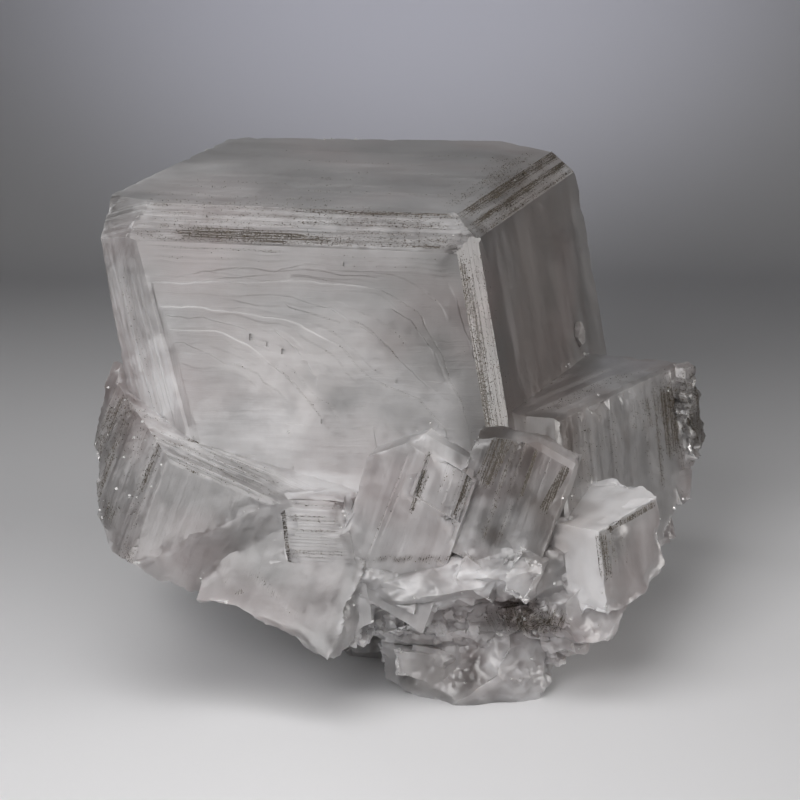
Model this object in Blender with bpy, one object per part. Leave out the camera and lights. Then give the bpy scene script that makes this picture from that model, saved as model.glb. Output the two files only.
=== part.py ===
"""A hand specimen of calcite dusted with pyrite: one large rhomb on a cluster of smaller ones.

Every crystal is a rhomb with calcite's own edge angle. It is placed by its upper front corner,
turned as a whole, and measured along its three edges: a runs left, b runs down and c runs back.
Its extra faces are planes in those same three measures. The crystals have grown together into
one piece, which broke off the rock at its underside and rests there on a flat break.
Sizes below are in millimetres and turns in degrees.
"""

import math
import random

import bmesh
import bpy
from mathutils import Euler, Matrix, Vector, noise

MM = 0.001
TO_MIDDLE = (-2.55, -9.75, 0)  # brings the middle of the specimen's box over the origin
EDGE_ANGLE = 101.9  # between any two edges at the blunt corner of a calcite rhomb

# The main crystal, the largest and the only one that is nearly whole.
MAIN_CORNER = (12.5, -18.5, 85.5)
MAIN_TURN = (-10, -6, -9)
MAIN_EDGES = (69, 58, 94)

# The three bevels of the main crystal that meet at its corner. Each gives the two measures that
# it runs between, its depth, and where its growth steps fall on the way across it.
MAIN_BEVELS = [
    ((1, 2), 6.1, (0, 0.14, 0.3, 0.42, 0.6, 0.74, 0.88, 1)),
    ((0, 2), 3.3, (0, 0.3, 0.55, 1)),
    ((0, 1), 3.9, (0, 0.25, 0.5, 0.7, 1)),
]
STAIR_BITE = 0.5  # how much of a full stair each growth step takes out of its bevel
MAIN_LEFT_FACES = [((-1, -0.1, 2.1), -61.7), ((-0.7, 1.37, 1), -35.5)]

# Growth lines on the main crystal's front face, as its measures along a and b.
GROWTH_LINES = [
    [(64, 14), (34, 12.3), (24, 12.7), (19, 13), (15, 15), (11.5, 18), (10, 23), (8.4, 28), (6.5, 36)],
    [(64, 18.3), (51, 17.8), (39, 19.2), (33.7, 20), (27, 24), (22.8, 29.9), (14.5, 33), (10.5, 38)],
    [(64, 22), (50, 21.8), (43.5, 24.4), (38.8, 28.7), (34.5, 34), (31.5, 39)],
]
TERRACE_STEP = 0.25
SET_BACK = 0.6  # keeps the terraces' left ends a little inside the crystal's own left faces

# Pits in that face: their measures along a and b, and their size.
PITS = [(43, 23, 1.5), (40.2, 24.2, 1), (37.7, 25.4, 1.2), (32.6, 37.9, 1), (24, 9, 0.9), (18, 30, 0.8)]

LOWER_LEFT_CORNER = (-8.1, -38.2, 40.5)
LOWER_LEFT_TURN = (-31, 15, -23)
CENTRE_LEFT_CORNER = (14, -36.9, 44.3)
CENTRE_TURN = (-5, 24, -9)
SHELF_TURN = (-12, -5, -17.5)
SMALL_TURN = (2, -5.5, -36.5)
TOOTH_TURN = (8, -4, -9)


def clear_scene():
    for old in list(bpy.data.objects):
        bpy.data.objects.remove(old, do_unlink=True)


def new_collection(name):
    collection = bpy.data.collections.new(name)
    bpy.context.scene.collection.children.link(collection)
    return collection


def rhomb_edges():
    """The three unit edges that leave the blunt corner of a calcite rhomb: left, down and back."""
    cosine = math.cos(math.radians(EDGE_ANGLE))
    axis = Vector((1, -1, 1)).normalized()
    lean = 1 / math.sqrt(3) - math.sqrt(1 / 3 + cosine / (1 - cosine))
    square = (Vector((-1, 0, 0)), Vector((0, 0, -1)), Vector((0, 1, 0)))
    return [(edge + lean * axis).normalized() for edge in square]


def crystal_matrix(corner, turn):
    """Takes measures along a, b and c to the specimen's own frame."""
    edges = Matrix([list(edge) for edge in rhomb_edges()]).transposed()
    rotation = Euler([math.radians(angle) for angle in turn]).to_matrix()
    return Matrix.Translation(corner) @ (rotation @ edges).to_4x4()


def keep_beyond(bm, plane, distance):
    """Cuts away what lies under plane . (a, b, c) = distance, and closes the cut."""
    normal = Vector(plane)
    bmesh.ops.bisect_plane(
        bm,
        geom=bm.verts[:] + bm.edges[:] + bm.faces[:],
        dist=1e-5,
        plane_co=normal * (distance / normal.length_squared),
        plane_no=normal,
        clear_inner=True,
    )
    rim = [edge for edge in bm.edges if edge.is_boundary]
    bmesh.ops.holes_fill(bm, edges=rim, sides=0)


def solid_object(name, bm, matrix, collection):
    """Finishes a shape made in millimetres as an object in metres that only helps to build."""
    matrix = Matrix.Scale(MM, 4) @ Matrix.Translation(TO_MIDDLE) @ matrix
    bmesh.ops.transform(bm, matrix=matrix, verts=bm.verts)
    bmesh.ops.recalc_face_normals(bm, faces=bm.faces)
    mesh = bpy.data.meshes.new(name)
    bm.to_mesh(mesh)
    bm.free()
    obj = bpy.data.objects.new(name, mesh)
    obj.hide_render = True
    obj.display_type = "WIRE"
    collection.objects.link(obj)
    return obj


def rhomb(name, collection, corner, turn, edges, trims=(), start=(0, 0, 0)):
    """A rhomb with its extra faces. Each trim is a plane in a, b, c and the distance it cuts at."""
    bm = bmesh.new()
    bmesh.ops.create_cube(bm, size=1)
    middle = Vector([first + length / 2 for first, length in zip(start, edges)])
    bmesh.ops.transform(
        bm, matrix=Matrix.Translation(middle) @ Matrix.Diagonal((*edges, 1)), verts=bm.verts
    )
    for plane, distance in trims:
        keep_beyond(bm, plane, distance)
    return solid_object(name, bm, crystal_matrix(corner, turn), collection)


def broken_lump(name, collection, middle, radii, seed, detail=3, breaks=15, rough=0.18):
    """A lump of broken calcite: an uneven ball with flat breaks knocked off it."""
    rng = random.Random(seed)
    bm = bmesh.new()
    bmesh.ops.create_icosphere(bm, subdivisions=detail, radius=1)
    shift = Vector([rng.uniform(-50, 50) for _ in range(3)])
    for vert in bm.verts:
        swell = noise.noise(vert.co * 1.3 + shift) + 0.5 * noise.noise(vert.co * 2.9 + shift)
        vert.co *= 1 + rough * swell
    for _ in range(breaks):
        direction = Vector([rng.gauss(0, 1) for _ in range(3)]).normalized()
        keep_beyond(bm, -direction, -rng.uniform(0.68, 0.92))
    placed = Matrix.Translation(middle) @ Matrix.Diagonal((*radii, 1))
    return solid_object(name, bm, placed, collection)


def cleavage_chips(collection, name, first, last, count, size, turn, seed):
    """A row of small rhombs, where the calcite broke along its cleavage in steps."""
    rng = random.Random(seed)
    first = Vector(first)
    last = Vector(last)
    for number in range(count):
        along = (number + rng.uniform(0.2, 0.8)) / count
        jitter = Vector([rng.uniform(-0.2, 0.2) * size for _ in range(3)])
        edges = [size * rng.uniform(0.7, 1.35) for _ in range(3)]
        tilted = [angle + rng.uniform(-12, 12) for angle in turn]
        start = [-length / 2 for length in edges]
        middle = first.lerp(last, along) + jitter
        rhomb(f"{name}_chip_{number}", collection, middle, tilted, edges, start=start)


def main_crystal(collection):
    bevels = []
    for (first, second), depth, _ in MAIN_BEVELS:
        plane = [0, 0, 0]
        plane[first] = plane[second] = 1
        bevels.append((plane, depth))
    back_faces = [
        ((-0.15, 0, -1), -94),
        ((-1, 0, -1), -150),
        ((0.87, 0, -1), -81.8),
        ((0.87, 0.8, -1), -76.7),
        ((0, 1, -0.9), -82),
    ]
    return rhomb(
        "main", collection, MAIN_CORNER, MAIN_TURN, MAIN_EDGES, bevels + MAIN_LEFT_FACES + back_faces
    )


def bevel_stairs(collection):
    """The notches between the growth steps, which turn each bevel into a shallow stair."""
    reach = 1.5
    for (first, second), depth, falls in MAIN_BEVELS:
        for number, (near, far) in enumerate(zip(falls, falls[1:])):
            back_off = (1 - STAIR_BITE) * depth * (far - near) / 2
            start = [-reach, -reach, -reach]
            edges = [length + 2 * reach for length in MAIN_EDGES]
            edges[first] = reach + depth * far - back_off
            edges[second] = reach + depth * (1 - near) - back_off
            name = f"stair_{first}{second}_{number}"
            rhomb(name, collection, MAIN_CORNER, MAIN_TURN, edges, start=start)


def growth_terraces(collection):
    """Low terraces on the front face of the main crystal, each behind a curved growth line."""
    for number, line in enumerate(GROWTH_LINES):
        bm = bmesh.new()
        end = line[-1][0]
        outline = line + [(end, 50), (line[0][0], 50)]
        rim = [bm.verts.new((along, down, 2)) for along, down in outline]
        face = bm.faces.new(rim)
        raised = bmesh.ops.extrude_face_region(bm, geom=[face])["geom"]
        moved = [item for item in raised if isinstance(item, bmesh.types.BMVert)]
        height = TERRACE_STEP * (number + 1)
        bmesh.ops.translate(bm, vec=(0, 0, -2 - height), verts=moved)
        for plane, distance in MAIN_LEFT_FACES:
            keep_beyond(bm, plane, distance + SET_BACK)
        matrix = crystal_matrix(MAIN_CORNER, MAIN_TURN)
        solid_object(f"terrace_{number}", bm, matrix, collection)


def pits_and_panes(collection):
    """Small hollows: pits in the main crystal's front and a sunken pane in the centre crystal."""
    for number, (along, down, size) in enumerate(PITS):
        start = (along - size / 2, down - size / 2, -2)
        rhomb(
            f"pit_{number}",
            collection,
            MAIN_CORNER,
            MAIN_TURN,
            (size, 0.8 * size, 2 + 0.7 * size),
            start=start,
        )
    rhomb(
        "pane",
        collection,
        CENTRE_LEFT_CORNER,
        CENTRE_TURN,
        (9.3, 11.5, 1.7),
        trims=[((0.25, 1, 0), 2.2)],
        start=(0.6, -1.5, -1),
    )


def main_front_block(collection):
    """The low block at the foot of the main crystal's front face."""
    rhomb("front_block", collection, (-5, -29.6, 50.4), MAIN_TURN, (15.5, 20, 10), [((0, 1, 1), 0.8)])


def shelf_crystal(collection):
    """The long crystal on the right, with a clean top and a broken far end."""
    rhomb(
        "shelf",
        collection,
        (28.5, -26, 51),
        SHELF_TURN,
        (27, 31, 74),
        trims=[
            ((1, 1.2, 0), 0.7),
            ((1.3, 0, 1), 0.8),
            ((0, 1.35, -1), -63),
            ((0, -1.9, -1), -105),
        ],
    )


def small_right_crystal(collection):
    rhomb(
        "small_right",
        collection,
        (35.3, -38.7, 33.7),
        SMALL_TURN,
        (14.2, 15.4, 20.5),
        trims=[
            ((-1, 0, -1), -32),
            ((0.62, 0, -1), -16.9),
            ((0, -1, -0.4), -19.5),
        ],
    )


def centre_crystals(collection):
    """Two blades of one crystal at the front, the right one a little further back."""
    rhomb(
        "centre_left",
        collection,
        CENTRE_LEFT_CORNER,
        CENTRE_TURN,
        (20, 31, 22),
        trims=[((-1, 1, 0), -12), ((0, 1, 0.8), 2.2)],
    )
    rhomb(
        "centre_right",
        collection,
        (31, -35.6, 45),
        CENTRE_TURN,
        (19, 25, 8),
        trims=[((-0.4, 1, 0), -3.2), ((0, 1, 1), 1)],
    )


def lower_left_crystal(collection):
    """The large crystal at the lower left, rounded by many narrow faces."""
    rhomb(
        "lower_left",
        collection,
        LOWER_LEFT_CORNER,
        LOWER_LEFT_TURN,
        (56, 32, 48),
        trims=[
            ((-0.116, 1, 1.55), 7.7),
            ((-1, 0, 2.8), -34),
            ((-1, 0, 1), -45),
            ((1, -0.906, 1), 5.3),
            ((-1.925, -1, 0), -115.1),
            ((-0.73, -1, 0), -60.7),
            ((0, -1, -0.9), -34),
        ],
    )
    rhomb(
        "lower_left_keel",
        collection,
        LOWER_LEFT_CORNER,
        LOWER_LEFT_TURN,
        (28, 20, 26),
        trims=[((0, -1, -0.4), -31.3)],
        start=(-4, 10, 4.5),
    )


def ribbed_crystal(collection):
    """The small crystal between the lower left one and the centre, and the tooth under it."""
    rhomb("ribbed", collection, (-9.8, -37.6, 39.5), MAIN_TURN, (12, 14, 18), [((0, 1, 1), 0.8)])
    rhomb(
        "tooth",
        collection,
        (-6.7, -41, 28),
        TOOTH_TURN,
        (16.5, 19, 14),
        trims=[((-4.42, -1, 0), -73), ((0.56, -1, 0), -11.2), ((0, -1, -0.8), -20)],
    )


def hidden_crystals(collection):
    """The crystals round the back and the sides of the foot."""
    rhomb(
        "back_left", collection, (-40, 46, 36), (8, 6, 200), (34, 26, 30), [((1, 0, 1), 3), ((0, 1, 1), 2)]
    )
    rhomb(
        "back_right", collection, (8, 54, 31), (-6, -10, 186), (30, 24, 26), [((1, 1, 0), 3), ((1, 0, 1), 2)]
    )
    rhomb(
        "left_side", collection, (-46, -8, 42), (4, -8, -84), (30, 17, 26), [((1, 0, 1), 2.4), ((0, 1, 1), 3)]
    )
    rhomb(
        "back_ledge", collection, (-6, 62, 54), (4, 9, 187), (30, 24, 26), [((0, 1, 1), 2), ((1, 1, 0), 2.6)]
    )
    rhomb(
        "right_side", collection, (45, 36, 31), (-8, 6, 84), (26, 20, 24), [((1, 0, 1), 2), ((0, 1, 1), 2)]
    )


LUMPS = [
    # name, middle, radii, seed
    ("foot_front", (13, -24, 5), (18, 14, 11), 4),
    ("foot_middle", (10, -2, 8), (26, 24, 18), 11),
    ("foot_back", (4, 22, 10), (36, 26, 19), 23),
    ("band_left", (-6, -31, 24), (12, 11, 7), 31),
    ("band_middle", (6, -32, 24), (16, 12, 7), 35),
    ("band_right", (20, -32, 25), (12, 11, 7.5), 39),
    ("under_band", (8, -26, 16), (22, 12, 8), 43),
    ("right_flank", (31, -22, 20), (12, 14, 11), 47),
    ("heel", (32, -32, 17), (10, 9, 8), 51),
    ("under_left", (-22, -14, 28), (18, 16, 10), 55),
    ("back_fill", (-8, 32, 24), (32, 18, 16), 63),
    ("behind_centre", (14, -28, 31), (15, 7, 7), 67),
    ("glassy_lump", (34.6, 30.2, 51.4), (1.6, 2.6, 2.6), 71),
]

CHIP_LINES = [
    # name, from, to, how many, size, turn, seed
    ("band", (-13, -36, 22), (25, -38, 25), 10, 6, CENTRE_TURN, 3),
    ("under", (-4, -32, 15), (26, -31, 15), 7, 6, MAIN_TURN, 8),
    ("foot", (2, -30, 7), (26, -23, 8), 6, 7, MAIN_TURN, 15),
    ("heel", (34, -33, 18), (27, -28, 8), 5, 6, SMALL_TURN, 21),
    ("shelf", (54.5, 29, 44), (55.5, 26, 28), 9, 4.6, SHELF_TURN, 27),
    ("flank", (52, 24, 27), (48, 12, 16), 6, 5.5, SHELF_TURN, 33),
    ("back", (-28, 42, 12), (34, 46, 12), 8, 10, (4, 8, 190), 38),
    ("left", (-40, 0, 24), (-32, 32, 14), 6, 9, (6, -8, -80), 45),
]


def broken_foot(collection):
    for name, middle, radii, seed in LUMPS:
        broken_lump(name, collection, middle, radii, seed)
    for line in CHIP_LINES:
        cleavage_chips(collection, *line)


def floor_cut(collection):
    """Everything under the flat break, which is taken away."""
    bm = bmesh.new()
    bmesh.ops.create_cube(bm, size=1)
    size, depth = 300, 60
    placed = Matrix.Translation((0, 0, -depth / 2)) @ Matrix.Diagonal((size, size, depth, 1))
    solid_object("floor_cut", bm, placed, collection)


def calcite_material():
    material = bpy.data.materials.new("calcite")
    material.use_nodes = True
    shader = material.node_tree.nodes["Principled BSDF"]
    shader.inputs["Base Color"].default_value = (0.36, 0.34, 0.33, 1)
    shader.inputs["Roughness"].default_value = 0.3
    shader.inputs["Metallic"].default_value = 0
    return material


def join_and_cut(body, steps):
    """Adds one Boolean for each step: its title, what it does, and the collection it uses."""
    for title, operation, operands in steps:
        modifier = body.modifiers.new(title, "BOOLEAN")
        modifier.operation = operation
        modifier.operand_type = "COLLECTION"
        modifier.collection = operands
        modifier.solver = "EXACT"


def main():
    clear_scene()
    specimen = new_collection("calcite_specimen")
    crystals = new_collection("crystals")
    hollows = new_collection("hollows")
    cutters = new_collection("cutters")

    body = main_crystal(specimen)
    body.name = "calcite_cluster"
    body.hide_render = False
    body.display_type = "TEXTURED"
    body.data.materials.append(calcite_material())

    bevel_stairs(hollows)
    growth_terraces(crystals)
    pits_and_panes(cutters)
    main_front_block(crystals)
    shelf_crystal(crystals)
    small_right_crystal(crystals)
    centre_crystals(crystals)
    lower_left_crystal(crystals)
    ribbed_crystal(crystals)
    hidden_crystals(crystals)
    broken_foot(crystals)
    floor_cut(cutters)
    join_and_cut(
        body,
        [
            ("growth_steps", "DIFFERENCE", hollows),
            ("grown_together", "UNION", crystals),
            ("flat_break", "DIFFERENCE", cutters),
        ],
    )


main()
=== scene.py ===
# %% [markdown]
# Calcite with pyrite, dressed for its portrait.
#
# The solid that comes with the frame already has the specimen's shape: a large calcite rhomb on a
# cluster of smaller ones, over a broken foot. This lesson gives it what a solid of flat faces can't
# have: growth lines, chipped edges, sparkling broken calcite, a see-through smoky body, and the
# pyrite dust that settled on some growth zones and not on others.

# %% Load the frame
import math
import random

import bmesh
import bpy
import numpy as np
from mathutils import Euler, Matrix, Vector, geometry, kdtree, noise


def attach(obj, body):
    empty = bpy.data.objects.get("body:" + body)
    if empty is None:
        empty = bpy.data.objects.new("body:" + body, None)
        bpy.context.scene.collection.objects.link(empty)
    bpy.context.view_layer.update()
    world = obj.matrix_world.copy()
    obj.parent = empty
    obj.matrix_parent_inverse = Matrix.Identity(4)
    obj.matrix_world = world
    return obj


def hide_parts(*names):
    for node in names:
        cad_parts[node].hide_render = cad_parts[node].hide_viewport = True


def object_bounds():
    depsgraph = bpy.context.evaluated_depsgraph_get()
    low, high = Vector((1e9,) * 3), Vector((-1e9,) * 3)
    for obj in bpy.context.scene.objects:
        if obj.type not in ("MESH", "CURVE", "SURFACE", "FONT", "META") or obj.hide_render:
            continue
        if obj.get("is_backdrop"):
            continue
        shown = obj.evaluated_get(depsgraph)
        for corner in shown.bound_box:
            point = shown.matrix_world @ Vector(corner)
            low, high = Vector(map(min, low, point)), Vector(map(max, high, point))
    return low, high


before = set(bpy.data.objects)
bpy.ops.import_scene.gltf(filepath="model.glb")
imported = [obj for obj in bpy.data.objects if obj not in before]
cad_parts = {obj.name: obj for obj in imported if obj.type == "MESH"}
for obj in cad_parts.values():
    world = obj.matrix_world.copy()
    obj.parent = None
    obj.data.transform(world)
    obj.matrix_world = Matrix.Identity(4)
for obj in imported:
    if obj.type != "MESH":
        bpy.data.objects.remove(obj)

MM = 0.001
cad_box = [list(corner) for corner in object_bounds()]
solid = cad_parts["calcite_cluster"]
print("the solid's box in mm:", [[round(v / MM, 1) for v in corner] for corner in cad_box])

# %% [markdown]
# The camera stands in front and a little above, 16 degrees over the level, with a long lens from
# 65 cm away. A long lens keeps the crystal's parallel edges nearly parallel in the picture. The
# lens could be chosen by eye; it is worked out here from how many picture dots a millimetre takes.

# %% Camera
def add_object(name, data):
    """A new object with that data, linked to the scene."""
    obj = bpy.data.objects.new(name, data)
    bpy.context.scene.collection.objects.link(obj)
    return obj


PICTURE = 800  # the picture is square, this many dots across
DOTS_PER_MM = 5.59  # at the point that the camera looks at
DISTANCE = 650  # in mm
LOOK_DOWN = math.radians(16)
LOOK_AT = Vector((-2.55, -37.25, 54.7))  # in mm

camera_data = bpy.data.cameras.new("camera")
camera_data.sensor_width = 36
camera_data.lens = DOTS_PER_MM * DISTANCE * camera_data.sensor_width / PICTURE
camera_data.clip_start = 0.01
camera_data.clip_end = 20
camera = add_object("camera", camera_data)
away = Vector((0, math.cos(LOOK_DOWN), -math.sin(LOOK_DOWN)))
camera.location = (LOOK_AT - away * DISTANCE) * MM
camera.rotation_euler = (math.pi / 2 - LOOK_DOWN, 0, 0)
bpy.context.scene.camera = camera
print("lens", round(camera_data.lens, 1), "mm")

# %% [markdown]
# Calcite grows as rhombs: six-faced blocks whose edges meet at 101.9 degrees at the blunt corner.
# Each crystal here has that corner at the upper front, and three measures from it: a runs left,
# b runs down and c runs back. Any place on the specimen can be told in those measures, which is
# handy, because growth lines, striations and dust all follow the crystal they belong to.

# %% The crystals
EDGE_ANGLE = 101.9
TO_MIDDLE = Vector((-2.55, -9.75, 0))  # from the corners' own origin to the frame's, in mm
CRYSTALS = {
    # name: upper front corner, turn in degrees, length along a, b and c
    "main": ((12.5, -18.5, 85.5), (-10, -6, -9), (69, 58, 94)),
    "shelf": ((28.5, -26, 51), (-12, -5, -17.5), (27, 31, 74)),
    "small_right": ((35.3, -38.7, 33.7), (2, -5.5, -36.5), (14.2, 15.4, 20.5)),
    "centre_left": ((14, -36.9, 44.3), (-5, 24, -9), (20, 31, 22)),
    "centre_right": ((31, -35.6, 45), (-5, 24, -9), (19, 25, 8)),
    "lower_left": ((-8.1, -38.2, 40.5), (-31, 15, -23), (56, 32, 48)),
    "ribbed": ((-9.8, -37.6, 39.5), (-10, -6, -9), (12, 14, 18)),
    "tooth": ((-6.7, -41, 28), (8, -4, -9), (16.5, 19, 14)),
    "front_block": ((-5, -29.6, 50.4), (-10, -6, -9), (15.5, 20, 10)),
}


def rhomb_edges():
    """The three unit edges that leave a calcite rhomb's blunt corner: left, down and back."""
    cosine = math.cos(math.radians(EDGE_ANGLE))
    axis = Vector((1, -1, 1)).normalized()
    lean = 1 / math.sqrt(3) - math.sqrt(1 / 3 + cosine / (1 - cosine))
    square = (Vector((-1, 0, 0)), Vector((0, 0, -1)), Vector((0, 1, 0)))
    return [(edge + lean * axis).normalized() for edge in square]


def crystal_frame(name):
    """The crystal's corner, and the matrix whose columns are its edges a, b and c, in mm."""
    corner, turn, _ = CRYSTALS[name]
    edges = Matrix([list(edge) for edge in rhomb_edges()]).transposed()
    rotation = Euler([math.radians(angle) for angle in turn]).to_matrix()
    return np.array(Vector(corner) + TO_MIDDLE), np.array(rotation @ edges)


FRAMES = {name: crystal_frame(name) for name in CRYSTALS}
print(len(FRAMES), "crystals")

# %% [markdown]
# The faces of the crystals are found again on the solid. Each face of a rhomb is a plane on which
# one measure stays the same, and the extra faces are planes through a mix of the three. A face of
# the solid that lies in such a plane, within that crystal, belongs to it; what belongs to none is
# broken calcite. Selecting the faces by hand would also do, but would have to be done again each
# time that the shape changes.

# %% Zones
ZONES = [
    # zone, crystal, plane in a, b and c, nearest and furthest distance, which edge its lines follow
    ("front", "main", (0, 0, 1), (-1.0, 0.05), "a"),
    ("top", "main", (0, 1, 0), (-0.1, 0.1), "a"),
    ("right", "main", (1, 0, 0), (-0.1, 0.1), "b"),
    ("bevel", "main", (0, 1, 0), (0.1, 6.3), "a"),
    ("bevel", "main", (0, 0, 1), (0.1, 6.3), "a"),
    ("bevel", "main", (1, 0, 0), (0.1, 6.3), "b"),
    ("bevel", "main", (0, 1, 1), (5.5, 6.7), "a"),
    ("bevel", "main", (1, 1, 0), (3.3, 4.5), "b"),
    ("bevel", "main", (1, 0, 1), (2.7, 3.9), "b"),
    ("left", "main", (-1, -0.1, 2.1), (-61.8, -61.5), "b"),
    ("corner", "main", (-0.7, 1.37, 1), (-35.6, -35.3), "a"),
    ("back", "main", None, None, "b"),
    ("shelf_top", "shelf", (0, 1, 0), (-0.1, 0.9), "c"),
    ("shelf_side", "shelf", (1, 0, 0), (-0.1, 0.9), "b"),
    ("shelf_front", "shelf", (0, 0, 1), (-0.1, 0.9), "b"),
    ("shelf_edge", "shelf", None, None, "c"),
    ("small_top", "small_right", (0, 1, 0), (-0.1, 0.1), "c"),
    ("small_left", "small_right", (0, 0, 1), (-0.1, 0.1), "b"),
    ("small_side", "small_right", (1, 0, 0), (-0.1, 0.1), "b"),
    ("centre", "centre_left", (0, 0, 1), (-0.1, 2.0), "b"),
    ("centre_edge", "centre_left", None, None, "b"),
    ("blade", "centre_right", (0, 0, 1), (-0.1, 0.1), "b"),
    ("blade_edge", "centre_right", None, None, "b"),
    ("band", "lower_left", (-0.116, 1, 1.55), (7.6, 7.8), "a"),
    ("flank", "lower_left", (-1, 0, 2.8), (-34.1, -33.9), "b"),
    ("flank", "lower_left", (-1, 0, 1), (-45.1, -44.9), "b"),
    ("smooth", "lower_left", (0, 0, 1), (-0.1, 0.1), "b"),
    ("facet", "lower_left", (0, 0, 1), (4.4, 4.6), "b"),
    ("facet", "lower_left", (1, -0.906, 1), (5.2, 5.4), "b"),
    ("underside", "lower_left", None, None, "a"),
    ("ribs", "ribbed", (0, 0, 1), (-0.1, 0.1), "a"),
    ("ribs", "ribbed", None, None, "a"),
    ("tooth", "tooth", (0, 0, 1), (-0.1, 0.1), "b"),
    ("tooth", "tooth", None, None, "b"),
    ("block", "front_block", (0, 0, 1), (-0.1, 0.1), "a"),
    ("block", "front_block", None, None, "a"),
]
EDGE_NUMBER = {"a": 0, "b": 1, "c": 2}
# how finely each zone is divided, and all others, and broken calcite in front and behind, in mm
CELL = {
    "front": 1.3, "top": 1.8, "right": 1.8, "back": 2.2, "shelf_top": 1.4, "shelf_side": 1.4, "underside": 1.6
}
USUAL_CELL = 0.85
FRONT_BREAK_CELL = 0.5
BACK_BREAK_CELL = 1.3
BEFORE, BEYOND = 1.2, 0.6  # how far a face may lie outside its crystal's measures, in mm
SAME_PLANE = 0.9995  # planes are the same if the cosine of the angle between them is above this
SMALL_FACE = 6  # a triangle smaller than this, in mm, is broken calcite unless its plane is known


def measures(name, points):
    """The points, in mm, as measures a, b and c of that crystal."""
    corner, edges = FRAMES[name]
    return (np.atleast_2d(points) - corner) @ np.linalg.inv(edges).T


def plane_normal(name, plane):
    normal = np.linalg.inv(FRAMES[name][1]).T @ np.array(plane, float)
    return normal / np.linalg.norm(normal)


def zone_of(centre, normal, corners):
    """The zone that a flat face of the solid belongs to, as its number in ZONES, or None."""
    for number, (_, name, plane, distances, _) in enumerate(ZONES):
        size = np.array(CRYSTALS[name][2])
        middle = measures(name, centre)[0]
        if np.any(middle <= -BEFORE) or np.any(middle >= size + BEYOND):
            continue
        if plane is None:
            inside = measures(name, corners)
            if inside.min() < -BEFORE or np.any(inside.max(0) > size + BEYOND):
                continue
            if len(corners) > 3 or np.ptp(corners, axis=0).max() > SMALL_FACE:
                return number
        elif abs(np.dot(plane_normal(name, plane), normal)) >= SAME_PLANE:
            if distances[0] <= np.dot(plane, middle) <= distances[1]:
                return number
    return None


def flat_faces(mesh):
    """The solid's flat faces: its triangles with the edges between level neighbours dissolved."""
    bm = bmesh.new()
    bm.from_mesh(mesh)
    bmesh.ops.remove_doubles(bm, verts=bm.verts, dist=1e-7)
    bmesh.ops.dissolve_limit(
        bm, angle_limit=math.radians(0.3), verts=bm.verts, edges=bm.edges, delimit=set()
    )
    bm.normal_update()
    bm.verts.index_update()
    bm.edges.index_update()
    bm.faces.index_update()
    return bm


shape = flat_faces(solid.data)
corners_mm = np.array([vert.co for vert in shape.verts]) / MM
face_zone = []
for face in shape.faces:
    points = corners_mm[[vert.index for vert in face.verts]]
    centre = np.array(face.calc_center_median()) / MM
    face_zone.append(zone_of(centre, np.array(face.normal), points))
found = {}
for face, number in zip(shape.faces, face_zone):
    name = "broken" if number is None else ZONES[number][0]
    found[name] = found.get(name, 0) + face.calc_area() / MM**2
print(len(shape.faces), "flat faces; square mm of each zone:", {k: round(v) for k, v in found.items()})

# %% [markdown]
# Growth leaves lines on a crystal's faces. Each layer of calcite stops somewhere, and its edge is a
# step a few hundredths of a millimetre high. On the large front face the edges curve from the
# upper left to the lower right; on the bevels and on the lower left crystal they are straight and
# crowded, which is what collectors call striated. Some are dusty with pyrite; others are clean and
# are painted white where they catch the light. On the front face the upper part of many lines is
# painted white as light and the lower part dusty as painted shade. Each is written here as a line in
# its crystal's own measures, with a half width, a height, how dusty it is and how white. A bump
# texture could suggest the lines, but a real edge in the mesh also shows from the side and in the
# exported shape.

# %% Growth lines
rng = random.Random(7)
between = rng.uniform
one_of = rng.choice


def resample(points, count):
    """The same line with evenly spread points."""
    points = np.array(points, float)
    steps = np.linalg.norm(np.diff(points, axis=0), axis=1)
    reached = np.concatenate([[0], np.cumsum(steps)])
    wanted = np.linspace(0, reached[-1], count)
    return np.stack([np.interp(wanted, reached, column) for column in points.T], 1)


def wobble(points, size, seed):
    """The line with a slow, uneven waver, as growth edges have."""
    moved = [
        (p[0] + size * noise.noise(Vector((i * 0.31, seed, 0))),
         p[1] + size * noise.noise(Vector((i * 0.31, seed, 9))), *p[2:])
        for i, p in enumerate(points)
    ]
    return np.array(moved)


class Line:
    """A growth line: its points in a, b and c, half its width, its height, dust and whiteness."""

    def __init__(self, points, half_width=0.15, height=0.0, dust=0.0, milk=0.0):
        self.points = np.array(points, float)
        self.half_width = half_width
        self.height = height
        self.dust = dust
        self.milk = milk


TERRACE_STEP = 0.25  # how far each terrace stands out over the one before, in mm
TERRACES = [
    [(64, 14), (34, 12.3), (24, 12.7), (19, 13), (15, 15), (11.5, 18), (10, 23), (8.4, 28), (6.5, 36)],
    [(64, 18.3), (51, 17.8), (39, 19.2), (33.7, 20), (27, 24), (22.8, 29.9), (14.5, 33), (10.5, 38)],
    [(64, 22), (50, 21.8), (43.5, 24.4), (38.8, 28.7), (34.5, 34), (31.5, 39)],
]
VEINS = [
    # terrace that it lies on, and where it runs in measures a and b
    (1, [(47, 15.5), (37, 14.8), (31, 16), (23, 20), (18.5, 23), (14.5, 29), (8.6, 33)]),
    (1, [(17, 16.5), (13, 19.3), (11.6, 22), (10.8, 26)]),
    (3, [(61, 24.6), (55, 24.3), (51.5, 25.8), (48.8, 27.6), (43, 28.5)]),
    (2, [(42, 25.8), (39, 29), (37.2, 31), (36, 34.5)]),
    (2, [(39, 20.6), (38, 22.4), (35, 24.5), (34, 27), (32.3, 30), (32, 32.5)]),
    (2, [(60, 19.8), (50, 19.6), (44, 21.6), (40, 25)]),
    (0, [(5.6, 12), (4.6, 17), (3.4, 24), (2.4, 33)]),
]


def on_terrace(path, level):
    """The flat path, raised to the terrace with that number."""
    return np.concatenate([path, np.full((len(path), 1), -TERRACE_STEP * level)], 1)


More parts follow.
